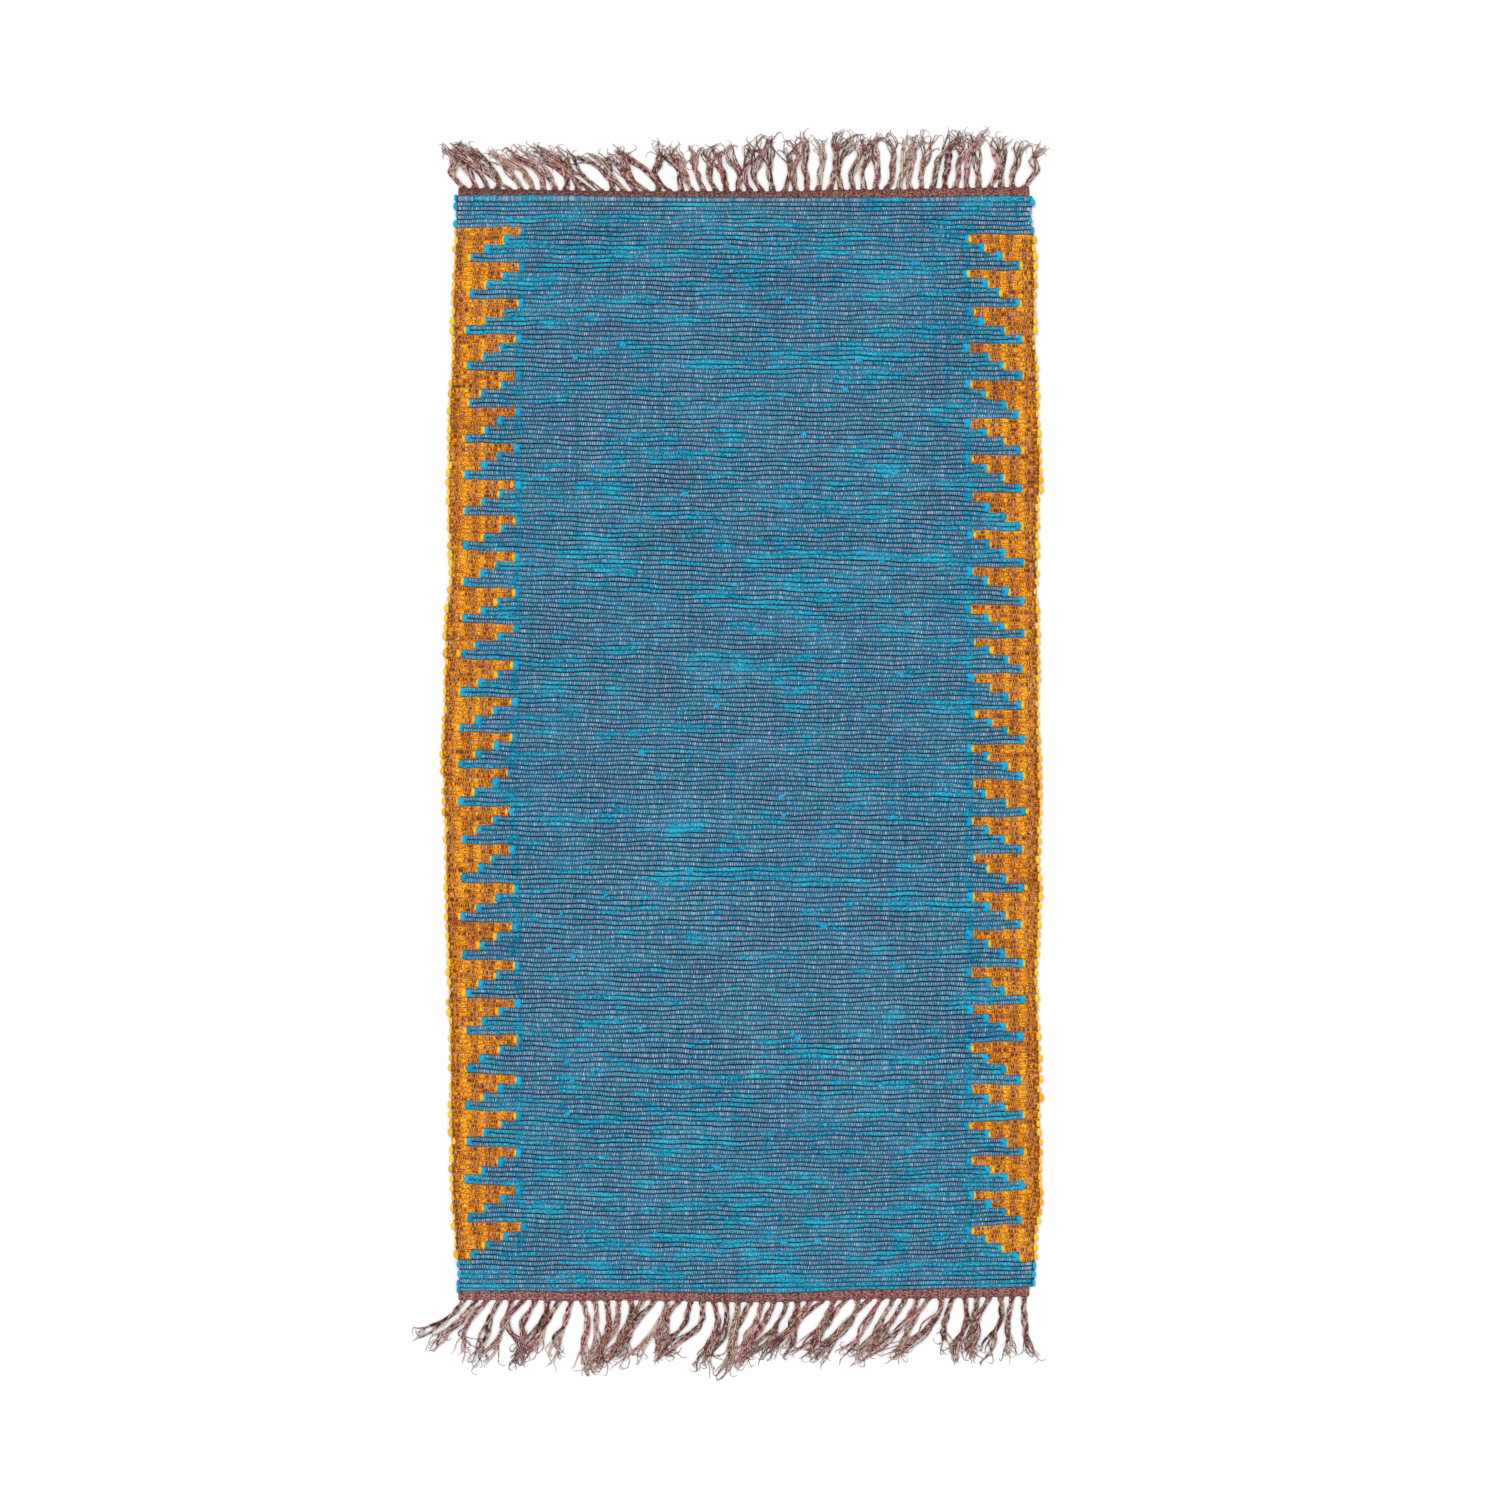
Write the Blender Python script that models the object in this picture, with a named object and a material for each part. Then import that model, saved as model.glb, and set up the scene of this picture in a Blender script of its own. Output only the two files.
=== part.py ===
"""Handwoven cotton rag rug: a ribbed flat field, and at each end a plain heading with a knotted fringe.

Metres, +Z up. The origin lies on the floor under the middle of the woven field. +Y runs along the rug to
its far end and +X across it. The field, and each heading with its fringe, is one solid that rests flat.
"""

import math
import random
from collections import namedtuple

import bmesh
import bpy

# Woven field: 0.80 m across its selvedges and 1.50 m long with both headings
HALF_WIDTH = 0.400
WOVEN_LENGTH = 1.500
HEADING_WIDTH = 0.0105
FIELD_LENGTH = WOVEN_LENGTH - 2 * HEADING_WIDTH
RIB_COUNT = 238
RIB_PITCH = FIELD_LENGTH / RIB_COUNT
CREST_HEIGHT = 0.0056
VALLEY_HEIGHT = 0.0041

# Selvedge section
SELVEDGE_UNDERCUT = 0.0016
SELVEDGE_SHOULDER = 0.0032
SELVEDGE_MIDDLE = 0.45
RIB_BULGE = 0.0010
RIB_UNEVENNESS = 0.0007

# Heading and tassel knots
HEADING_HALF_WIDTH = 0.3865
HEADING_HEIGHT = 0.0024
SEAM_GAP = 0.0003
KNOT_FLARE = 0.0112
KNOT_LENGTH = 0.0045
KNOT_HEIGHT = 0.0034
OUTER_KNOT = 0.3800
KNOT_UNEVENNESS = 0.0007

# Locks, three from each knot. Each one is a three-sided tapered bar with its widest side on the floor
LOCKS_PER_TASSEL = 3
LOCK_ROOT_WIDTH = 0.0020
LOCK_ROOT_GAP = 0.0005
LOCK_CLEARANCE = 0.0006
LOCK_TURN_EASE = 1.15
LENGTH_UNEVENNESS = 0.09
LEAN_UNEVENNESS = 5.0
CURL_SIZE = 0.0018
FAN_SIZE = 0.0011
SPREADING_ROUNDS = 400

SEED = 41

# How far the two selvedges lie from the middle line, from the far end (0) to the near end (1)
Selvedge = namedtuple("Selvedge", "along left right")
SELVEDGES = (
    Selvedge(0.00, 0.3925, 0.3935),
    Selvedge(0.02, 0.3914, 0.3911),
    Selvedge(0.04, 0.3927, 0.3962),
    Selvedge(0.08, 0.3951, 0.3965),
    Selvedge(0.12, 0.3960, 0.3950),
    Selvedge(0.16, 0.3977, 0.3996),
    Selvedge(0.20, 0.4007, 0.4008),
    Selvedge(0.24, 0.4021, 0.4034),
    Selvedge(0.29, 0.4026, 0.4005),
    Selvedge(0.36, 0.3989, 0.3991),
    Selvedge(0.40, 0.4063, 0.4013),
    Selvedge(0.48, 0.4075, 0.4013),
    Selvedge(0.52, 0.4115, 0.4023),
    Selvedge(0.56, 0.4081, 0.4039),
    Selvedge(0.60, 0.4055, 0.4017),
    Selvedge(0.64, 0.4058, 0.4033),
    Selvedge(0.72, 0.4018, 0.3990),
    Selvedge(0.80, 0.3992, 0.4026),
    Selvedge(0.92, 0.3977, 0.4043),
    Selvedge(0.96, 0.3926, 0.3963),
    Selvedge(0.98, 0.3882, 0.3969),
    Selvedge(1.00, 0.3895, 0.3955),
)

# How the rows run, from the far end (0) to the near end (1): drift is how much farther up the rug a row lies
# than under an even beat, lean how much lower its right end is than its left one, and sag how much lower its
# middle is than the straight line between its ends
RowLine = namedtuple("RowLine", "along drift lean sag")
ROW_LINES = (
    RowLine(0.00, 0.0000, 0.0000, 0.0000),
    RowLine(0.04, 0.0020, 0.0046, -0.0019),
    RowLine(0.13, 0.0042, 0.0070, 0.0000),
    RowLine(0.25, 0.0042, 0.0120, 0.0007),
    RowLine(0.33, 0.0043, 0.0184, 0.0015),
    RowLine(0.37, 0.0050, 0.0200, 0.0027),
    RowLine(0.42, 0.0087, 0.0150, 0.0040),
    RowLine(0.48, 0.0095, 0.0120, 0.0034),
    RowLine(0.54, 0.0120, 0.0098, 0.0000),
    RowLine(0.60, 0.0094, 0.0075, 0.0010),
    RowLine(0.70, 0.0046, 0.0040, 0.0050),
    RowLine(0.76, 0.0034, 0.0025, 0.0046),
    RowLine(0.81, -0.0023, 0.0090, 0.0055),
    RowLine(0.86, -0.0010, 0.0085, 0.0080),
    RowLine(0.91, 0.0006, 0.0015, 0.0065),
    RowLine(0.96, 0.0005, -0.0040, 0.0050),
    RowLine(1.00, 0.0000, -0.0068, 0.0030),
)

# How the tassels lie, from the left selvedge (0) to the right one (1): lean in degrees, to the right if
# positive, and how far they reach out from the heading
Lie = namedtuple("Lie", "across lean reach")
FAR_LIES = (
    Lie(0.02, -38, 0.054),
    Lie(0.08, -26, 0.063),
    Lie(0.15, -40, 0.055),
    Lie(0.21, -38, 0.060),
    Lie(0.28, -35, 0.053),
    Lie(0.35, -30, 0.056),
    Lie(0.40, -16, 0.063),
    Lie(0.46, -14, 0.065),
    Lie(0.53, -3, 0.072),
    Lie(0.60, 0, 0.077),
    Lie(0.68, 7, 0.076),
    Lie(0.85, 8, 0.079),
    Lie(0.92, 5, 0.074),
    Lie(0.97, 18, 0.063),
    Lie(0.99, 40, 0.046),
)
NEAR_LIES = (
    Lie(0.01, -47, 0.063),
    Lie(0.04, -22, 0.076),
    Lie(0.08, -8, 0.086),
    Lie(0.15, -14, 0.089),
    Lie(0.19, -27, 0.079),
    Lie(0.23, -5, 0.097),
    Lie(0.28, -8, 0.095),
    Lie(0.34, -25, 0.090),
    Lie(0.40, -27, 0.081),
    Lie(0.48, -10, 0.097),
    Lie(0.54, -24, 0.088),
    Lie(0.61, -32, 0.074),
    Lie(0.75, -30, 0.087),
    Lie(0.82, -31, 0.081),
    Lie(0.87, -9, 0.084),
    Lie(0.92, -17, 0.086),
    Lie(0.97, 0, 0.090),
    Lie(0.99, 12, 0.085),
)

# Sections along a lock, from its knot (0) to its tip (1)
Section = namedtuple("Section", "share width height")
LOCK_SECTIONS = (
    Section(0.26, 0.0028, 0.0032),
    Section(0.52, 0.0029, 0.0030),
    Section(0.77, 0.0027, 0.0026),
    Section(1.00, 0.0017, 0.0014),
)

# Ends of the rug: which way it points, its number of tassels and how they lie
End = namedtuple("End", "name side tassels lies")
ENDS = (
    End("fringe_far", 1, 50, FAR_LIES),
    End("fringe_near", -1, 48, NEAR_LIES),
)


def clear_scene():
    for obj in list(bpy.data.objects):
        bpy.data.objects.remove(obj, do_unlink=True)


def read_table(rows, place, column):
    """A column's value at a place in a table's first column, eased from row to row."""
    if place <= rows[0][0]:
        return getattr(rows[0], column)
    for low, high in zip(rows, rows[1:]):
        if place <= high[0]:
            share = (place - low[0]) / (high[0] - low[0])
            eased = share * share * (3 - 2 * share)
            start = getattr(low, column)
            return start + (getattr(high, column) - start) * eased
    return getattr(rows[-1], column)


def row_y(row, x):
    """Y of a weaving row at x. Row 0 is the far end of the field."""
    along = row / RIB_COUNT
    even = FIELD_LENGTH / 2 - row * RIB_PITCH
    across = x / HALF_WIDTH
    lean = read_table(ROW_LINES, along, "lean") * across / 2
    sag = read_table(ROW_LINES, along, "sag") * (1 - across * across)
    return even + read_table(ROW_LINES, along, "drift") - lean - sag


def new_object(name, mesh_builder, material):
    """Turns a bmesh into a named object, with its faces pointing out."""
    bmesh.ops.recalc_face_normals(mesh_builder, faces=mesh_builder.faces)
    mesh = bpy.data.meshes.new(name)
    mesh_builder.to_mesh(mesh)
    mesh_builder.free()
    mesh.materials.append(material)
    obj = bpy.data.objects.new(name, mesh)
    bpy.context.scene.collection.objects.link(obj)
    return obj


def cloth_material(name, colour, roughness):
    material = bpy.data.materials.new(name)
    material.use_nodes = True
    shader = material.node_tree.nodes["Principled BSDF"]
    shader.inputs["Base Color"].default_value = (*colour, 1.0)
    shader.inputs["Roughness"].default_value = roughness
    shader.inputs["Metallic"].default_value = 0.0
    return material


def field_section(row, is_crest, unevenness):
    """The ring of points round the cloth at one row: under edge, selvedge, shoulder, middle and back."""
    along = row / RIB_COUNT
    top = CREST_HEIGHT if is_crest else VALLEY_HEIGHT
    bulge = RIB_BULGE if is_crest else 0.0
    left = -read_table(SELVEDGES, along, "left") - bulge - unevenness.uniform(-1, 1) * RIB_UNEVENNESS
    right = read_table(SELVEDGES, along, "right") + bulge + unevenness.uniform(-1, 1) * RIB_UNEVENNESS
    ring = (
        (left + SELVEDGE_UNDERCUT, 0.0),
        (left, top * SELVEDGE_MIDDLE),
        (left + SELVEDGE_SHOULDER, top),
        (0.0, top),
        (right - SELVEDGE_SHOULDER, top),
        (right, top * SELVEDGE_MIDDLE),
        (right - SELVEDGE_UNDERCUT, 0.0),
        (0.0, 0.0),
    )
    return [(x, row_y(row, x), z) for x, z in ring]


def build_field(material):
    """The woven field, lofted through a crest and a valley for each rib."""
    unevenness = random.Random(SEED)
    builder = bmesh.new()
    rings = []
    for half_row in range(2 * RIB_COUNT + 1):
        section = field_section(half_row / 2, half_row % 2 == 1, unevenness)
        rings.append([builder.verts.new(point) for point in section])
    for ring, following in zip(rings, rings[1:]):
        for i, vert in enumerate(ring):
            after = (i + 1) % len(ring)
            builder.faces.new((vert, ring[after], following[after], following[i]))
    for ring in (rings[0], rings[-1]):
        left_edge, left_side, left_top, top, right_top, right_side, right_edge, under = ring
        builder.faces.new((under, left_edge, left_side, left_top, top))
        builder.faces.new((top, right_top, right_side, right_edge, under))
    return new_object("woven_field", builder, material)


def knot_places(end, unevenness):
    step = 2 * OUTER_KNOT / (end.tassels - 1)
    return [-OUTER_KNOT + i * step + unevenness.uniform(-1, 1) * KNOT_UNEVENNESS for i in range(end.tassels)]


def lock_offset(lock):
    """How far a lock's root lies from the middle of its knot."""
    return (lock - (LOCKS_PER_TASSEL - 1) / 2) * (LOCK_ROOT_WIDTH + LOCK_ROOT_GAP)


def spread_apart(places, widths):
    """Pushes neighbours apart until each pair has room for both widths and a clearance."""
    for _ in range(SPREADING_ROUNDS):
        moved = False
        for i in range(len(places) - 1):
            room = (widths[i] + widths[i + 1]) / 2 + LOCK_CLEARANCE
            short = room - (places[i + 1] - places[i])
            if short > 1e-7:
                places[i] -= short / 2
                places[i + 1] += short / 2
                moved = True
        if not moved:
            break
    return places


def lay_locks(end, knots, unevenness):
    """For each lock, its middle line at the shared section lines: a list of (x, outward, width, height)."""
    laid = []
    for knot in knots:
        across = (knot + HALF_WIDTH) / (2 * HALF_WIDTH)
        tassel_lean = read_table(end.lies, across, "lean") + unevenness.uniform(-1, 1) * LEAN_UNEVENNESS
        tassel_reach = read_table(end.lies, across, "reach")
        curl = unevenness.uniform(-1, 1) * CURL_SIZE
        for lock in range(LOCKS_PER_TASSEL):
            reach = tassel_reach * (1 - unevenness.uniform(0, 1) * LENGTH_UNEVENNESS)
            fan = (lock - 1) * FAN_SIZE + unevenness.uniform(-1, 1) * FAN_SIZE / 2
            laid.append((knot + lock_offset(lock), math.radians(tassel_lean), reach, curl, fan))
    longest = max(row.reach for row in end.lies)
    columns = []
    for section in LOCK_SECTIONS:
        places = []
        for root, lean, _reach, curl, fan in laid:
            outward = longest * section.share
            sway = math.tan(lean) * outward * section.share ** (LOCK_TURN_EASE - 1)
            places.append(root + sway + curl * math.sin(math.pi * 1.5 * section.share) + fan * section.share)
        widths = [section.width / math.cos(lean) for _root, lean, *_rest in laid]
        columns.append(spread_apart(places, widths))
    locks = []
    for i, (root, lean, reach, _curl, _fan) in enumerate(laid):
        line = [(root, 0.0)] + [(places[i], longest * s.share) for places, s in zip(columns, LOCK_SECTIONS)]
        bars = []
        for section in LOCK_SECTIONS:
            outward = reach * section.share
            bars.append((place_on(line, outward), outward, section.width / math.cos(lean), section.height))
        locks.append(bars)
    return locks


def place_on(line, outward):
    """X of a lock's middle line at a distance outward. Straight between the shared section lines."""
    for (x_low, low), (x_high, high) in zip(line, line[1:]):
        if outward <= high:
            return x_low + (x_high - x_low) * (outward - low) / (high - low)
    return line[-1][0]


class FringeEnd:
    """One heading with its knots and locks, built as a single closed mesh."""

    def __init__(self, end):
        self.end = end
        self.row = 0 if end.side > 0 else RIB_COUNT
        self.builder = bmesh.new()

    def vert(self, x, outward, z):
        """A point at x, a distance outward from the field's end."""
        return self.builder.verts.new((x, row_y(self.row, x) + self.end.side * outward, z))

    def face(self, *verts):
        self.builder.faces.new(verts)

    def add_lock(self, root_left, root_right, root_top, bars):
        """Carries a three-sided root face out along its lock's sections, and closes its tip."""
        left, right, top = root_left, root_right, root_top
        for x, outward, width, height in bars:
            reach = HEADING_WIDTH + KNOT_LENGTH + outward
            new_left = self.vert(x - width / 2, reach, 0.0)
            new_right = self.vert(x + width / 2, reach, 0.0)
            new_top = self.vert(x, reach, height)
            self.face(left, right, new_right, new_left)
            self.face(right, top, new_top, new_right)
            self.face(top, left, new_left, new_top)
            left, right, top = new_left, new_right, new_top
        self.face(left, right, top)

    def add_knot(self, knot, bars_of_locks):
        """A knot that narrows from the heading to its lock roots. Returns its points on the two outlines."""
        flare, neck = HEADING_WIDTH, HEADING_WIDTH + KNOT_LENGTH
        base_left = [self.vert(knot - KNOT_FLARE / 2, flare, z) for z in (0.0, HEADING_HEIGHT)]
        base_right = [self.vert(knot + KNOT_FLARE / 2, flare, z) for z in (0.0, HEADING_HEIGHT)]
        floor_line, tops = [], []
        for lock in range(LOCKS_PER_TASSEL):
            middle = knot + lock_offset(lock)
            floor_line.append(self.vert(middle - LOCK_ROOT_WIDTH / 2, neck, 0.0))
            floor_line.append(self.vert(middle + LOCK_ROOT_WIDTH / 2, neck, 0.0))
            tops.append(self.vert(middle, neck, KNOT_HEIGHT))
        for lock, bars in enumerate(bars_of_locks):
            self.add_lock(floor_line[2 * lock], floor_line[2 * lock + 1], tops[lock], bars)
        for lock in range(LOCKS_PER_TASSEL - 1):
            self.face(floor_line[2 * lock + 1], floor_line[2 * lock + 2], tops[lock + 1], tops[lock])
        self.face(base_left[0], floor_line[0], tops[0])
        self.face(base_left[0], tops[0], base_left[1])
        self.face(base_right[0], base_right[1], tops[-1])
        self.face(base_right[0], tops[-1], floor_line[-1])
        self.face(base_left[1], tops[0], tops[1])
        self.face(base_left[1], tops[1], base_right[1])
        self.face(tops[1], tops[2], base_right[1])
        return base_left, floor_line, base_right

    def build(self, material):
        unevenness = random.Random(SEED + self.end.tassels)
        knots = knot_places(self.end, unevenness)
        locks = lay_locks(self.end, knots, unevenness)
        outer = HEADING_HALF_WIDTH
        corners = [[self.vert(x, outward, z) for z in (0.0, HEADING_HEIGHT)] for x, outward in (
            (outer, HEADING_WIDTH), (outer, SEAM_GAP), (0.0, SEAM_GAP), (-outer, SEAM_GAP), (-outer, HEADING_WIDTH))]
        floor_outline = [corner[0] for corner in corners]
        top_outline = [corner[1] for corner in corners]
        walls = list(zip(corners, corners[1:]))
        last = corners[-1]
        for i, knot in enumerate(knots):
            first_lock = i * LOCKS_PER_TASSEL
            bars = locks[first_lock:first_lock + LOCKS_PER_TASSEL]
            base_left, floor_line, base_right = self.add_knot(knot, bars)
            floor_outline += [base_left[0], *floor_line, base_right[0]]
            top_outline += [base_left[1], base_right[1]]
            walls.append((last, base_left))
            last = base_right
        walls.append((last, corners[0]))
        for (low, high), (next_low, next_high) in walls:
            self.face(low, next_low, next_high, high)
        self.face(*floor_outline)
        self.face(*top_outline)
        return new_object(self.end.name, self.builder, material)


def main():
    clear_scene()
    weave = cloth_material("blue_weave", (0.066, 0.188, 0.279), 0.92)
    warp_yarn = cloth_material("warp_yarn", (0.215, 0.110, 0.108), 0.95)
    build_field(weave)
    for end in ENDS:
        FringeEnd(end).build(warp_yarn)


main()
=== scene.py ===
"""Looks of a handwoven cotton rag rug: its ribbed two-colour field, the turns of its weft, its headings and
its knotted fringe, with the floor, the lights and the camera. Metres, +Z up, +Y towards the far end."""

import math
from collections import namedtuple

import bpy
import numpy as np
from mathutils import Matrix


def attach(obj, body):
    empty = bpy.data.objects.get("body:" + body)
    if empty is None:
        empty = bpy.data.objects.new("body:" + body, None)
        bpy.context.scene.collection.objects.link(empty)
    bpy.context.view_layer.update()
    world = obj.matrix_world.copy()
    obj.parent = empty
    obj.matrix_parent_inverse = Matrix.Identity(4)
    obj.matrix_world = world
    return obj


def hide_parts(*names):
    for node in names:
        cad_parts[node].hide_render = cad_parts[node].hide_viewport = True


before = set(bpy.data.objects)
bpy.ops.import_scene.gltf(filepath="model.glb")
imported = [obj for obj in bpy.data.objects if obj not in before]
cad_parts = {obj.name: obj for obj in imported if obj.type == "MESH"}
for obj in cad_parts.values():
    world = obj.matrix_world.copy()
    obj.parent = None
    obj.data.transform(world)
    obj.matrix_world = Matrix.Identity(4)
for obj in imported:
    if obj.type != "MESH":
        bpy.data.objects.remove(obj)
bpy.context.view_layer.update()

# Woven field, as in the CAD
HALF_WIDTH = 0.400
WOVEN_LENGTH = 1.500
HEADING_WIDTH = 0.0105
FIELD_LENGTH = WOVEN_LENGTH - 2 * HEADING_WIDTH
RIB_COUNT = 238
RIB_PITCH = FIELD_LENGTH / RIB_COUNT
CREST_HEIGHT = 0.0056
VALLEY_HEIGHT = 0.0041

# The field's mesh: columns count warp ends from a selvedge, and the underside's ends lie in by ribs
STATIONS_PER_RIB = 4
EDGE_COLUMNS = (0, 1.2, 2.6)
EDGE_ROUNDNESS = (0.45, 0.85)
INNER_COLUMN = 5
INNER_COLUMN_COUNT = 95
EDGE_INSET = 0.0026
UNDER_INSET = 0.0038
UNDER_END_INSET = 0.6
UNDER_END_SLOPE = 0.8
UNDER_VALLEY = 0.0011
LOOSE_LOFT = 0.0006
LOOSE_BLUR_ENDS = 5
RIPPLE_FADE_RIBS = 6

# Headings and knots, as in the CAD
HEADING_HALF_WIDTH = 0.3865
HEADING_HEIGHT = 0.0024
KNOT_FLARE = 0.0112
KNOT_LENGTH = 0.0045
OUTER_KNOT = 0.3800

# The headings' mesh, with its lines of points from the field out to the knots
HEADING_STATIONS = 616
HEADING_SHARES = (0.0, 0.25, 0.5, 0.75, 0.93, 1.0)
HEADING_SWELL = (0.9, 1.0, 1.05, 1.0, 0.9, 0.55)
HEADING_OVERLAP = 0.0016
HEADING_MARGIN = 0.0004
PICK_PITCH = 0.0017
KNOT_RISE = 0.0009
KNOT_TIP = 0.9 * KNOT_LENGTH
KNOT_ROOT = 0.0008
FLOOR_CLEARANCE = 0.0002

# Warp: thin yarns side by side, every second one on top of a rib
END_COUNT = 518
WARP_PITCH = 2 * HALF_WIDTH / END_COUNT
FLOAT_HALF_WIDTH = 0.00098
GOLD_FLOAT_WIDTH = 1.52
FLOAT_RISE = 0.00040
FLOAT_SINK = 0.00005
WARP_INSET = 0.0022
EDGE_ENDS = 5
HIDDEN_IN_GOLD = 0.10
CROWDED_IN_GOLD = 0.30
CROWDED_AT_EDGE = 0.50

# Stepped border: teeth of four steps of two ribs, the longest step first
TOOTH_COUNT = 28
STEPS_PER_TOOTH = 4
RIBS_PER_STEP = 2
ENDS_PER_STEP = 15
FIRST_TOOTH_RIBS = (7, 8)  # left border, right border

# Loose weft: streaks per rib where nothing but loose weft shows, and the columns beside the border's steps
STREAKS_PER_RIB = 44
LEAST_STREAK_ENDS = 3
SPILL_SHARE = 0.45
JOIN_IN_GOLD = 0.85
JOIN_IN_BLUE = 0.20
JOIN_BESIDE_POINTS = 0.62

# Weft turns: lift is above a rib's crest, and the last two values are warp ends from where the colours meet
Turn = namedtuple("Turn", "radius height_share lift spread")
BLUE_TURN = Turn(0.0050, 0.28, 0.0006, 0.0009)
GOLD_TURN = Turn(0.0029, 0.46, 0.0000, 0.0010)
SELVEDGE_TURN = Turn(0.0026, 0.55, -0.0010, 0.0010)
TURN_FLATNESS = 0.75
TURN_ARCH = 0.0010
TURN_BEND = 0.72 * math.pi
TURN_SWELL = (0.50, 0.78, 0.95, 1.05, 1.08, 1.05, 0.95, 0.78, 0.50)
LONGEST_STEP_SIZE = 1.30
STEP_SIZE = 1.18
BLUE_TURN_ENDS = 2.6
GOLD_TURN_ENDS = -2.1

# Tufts
TUFT_RADIUS = 0.0027
TUFT_DEPTH = 0.0010
TUFT_SWELL = (0.3, 0.7, 0.95, 1.1, 1.0, 1.1, 0.95, 0.7, 0.3)
RANDOM_TUFTS = 46

# Fringe
STRANDS_PER_TASSEL = 3
YARNS_PER_STRAND = 3
YARN_RADIUS = 0.00094
YARN_STATIONS = 22
CURL = 0.0044
SMALL_CURL = 0.0030
STRAND_PARTING = 0.0045
YARN_WAVE = 0.0010
YARN_WISP = 0.0024
STRAY_SHARE = 0.10
HOOKED_SHARE = 0.12
LOOSE_SHARE = 0.15
LEAST_BEND = 0.05
TIP_START = 0.66
FIBRE_RADIUS = 0.00038
FIBRE_TAPER = (1.8, 1.2, 1.0, 0.8, 0.4)

# Photograph: a square frame seen from straight above, with the rug a little up and left of its middle
FRAME_WIDTH = 2.0325
FRAME_CENTRE = (0.0084, -0.0084)
CAMERA_HEIGHT = 6.0
SENSOR = 36.0
KEY_STRENGTH = 1.0
ROOM_STRENGTH = 0.92
FLOOR_HALF_SIDE = 400.0
VIEW_DEPTH = 1000.0

SEED = 20


# Tables from the CAD and the photograph

def table(columns, rows):
    """Rows of numbers, with names for their columns."""
    Row = namedtuple("Row", columns)
    return [Row(*row) for row in rows]


# How far each selvedge lies from the middle line, from the far end at 0 to the near end at 1, as in the CAD
SELVEDGES = table("along left right", (
    (0.00, 0.3925, 0.3935), (0.02, 0.3914, 0.3911), (0.04, 0.3927, 0.3962), (0.08, 0.3951, 0.3965),
    (0.12, 0.3960, 0.3950), (0.16, 0.3977, 0.3996), (0.20, 0.4007, 0.4008), (0.24, 0.4021, 0.4034),
    (0.29, 0.4026, 0.4005), (0.36, 0.3989, 0.3991), (0.40, 0.4063, 0.4013), (0.48, 0.4075, 0.4013),
    (0.52, 0.4115, 0.4023), (0.56, 0.4081, 0.4039), (0.60, 0.4055, 0.4017), (0.64, 0.4058, 0.4033),
    (0.72, 0.4018, 0.3990), (0.80, 0.3992, 0.4026), (0.92, 0.3977, 0.4043), (0.96, 0.3926, 0.3963),
    (0.98, 0.3882, 0.3969), (1.00, 0.3895, 0.3955),
))
# The same for the outermost warp, which lies straighter
WARP_EDGES = table("along left right", (
    (0.00, 0.3885, 0.3905), (0.07, 0.3915, 0.3930), (0.15, 0.3955, 0.3955), (0.30, 0.3970, 0.3965),
    (0.42, 0.4015, 0.3990), (0.52, 0.4060, 0.3990), (0.65, 0.4020, 0.3980), (0.80, 0.3970, 0.3970),
    (0.90, 0.3960, 0.3995), (0.95, 0.3925, 0.3945), (1.00, 0.3870, 0.3910),
))

# How the rows of the weave lie, as in the CAD: drift is towards the far end, lean is how much nearer they
# are on the right than on the left, and sag is how much nearer in the middle
ROW_LINES = table("along drift lean sag", (
    (0.00, 0.0000, 0.0000, 0.0000), (0.04, 0.0020, 0.0046, -0.0019), (0.13, 0.0042, 0.0070, 0.0000),
    (0.25, 0.0042, 0.0120, 0.0007), (0.33, 0.0043, 0.0184, 0.0015), (0.37, 0.0050, 0.0200, 0.0027),
    (0.42, 0.0087, 0.0150, 0.0040), (0.48, 0.0095, 0.0120, 0.0034), (0.54, 0.0120, 0.0098, 0.0000),
    (0.60, 0.0094, 0.0075, 0.0010), (0.70, 0.0046, 0.0040, 0.0050), (0.76, 0.0034, 0.0025, 0.0046),
    (0.81, -0.0023, 0.0090, 0.0055), (0.86, -0.0010, 0.0085, 0.0080), (0.91, 0.0006, 0.0015, 0.0065),
    (0.96, 0.0005, -0.0040, 0.0050), (1.00, 0.0000, -0.0068, 0.0030),
))

# Small waves of the rows
WAVES = table("height length ribs phase", (
    (0.0008, 0.230, 21.0, 0.0), (0.0006, 0.094, -13.3, 1.7), (0.0004, 0.047, 7.1, 0.6),
))

# How the tassels lie along an end, from its left: their lean to the right in degrees and their reach
FAR_LIES = table("across lean reach", (
    (0.02, -22, 0.050), (0.05, -32, 0.058), (0.08, -26, 0.063), (0.15, -40, 0.055), (0.21, -38, 0.060),
    (0.28, -35, 0.053), (0.35, -30, 0.056), (0.40, -16, 0.063), (0.46, -14, 0.065), (0.53, -3, 0.072),
    (0.60, 0, 0.077), (0.68, 7, 0.076), (0.85, 8, 0.079), (0.92, 5, 0.074), (0.97, 18, 0.063),
    (0.99, 40, 0.046),
))
NEAR_LIES = table("across lean reach", (
    (0.02, -45, 0.056), (0.05, -31, 0.072), (0.09, -14, 0.086), (0.15, -16, 0.089), (0.19, -27, 0.079),
    (0.23, -5, 0.097), (0.28, -8, 0.095), (0.34, -25, 0.090), (0.40, -27, 0.081), (0.48, -10, 0.097),
    (0.54, -24, 0.088), (0.61, -32, 0.074), (0.75, -30, 0.087), (0.82, -31, 0.081), (0.87, -9, 0.084),
    (0.92, -17, 0.086), (0.97, -2, 0.090), (0.99, 4, 0.085),
))

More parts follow.
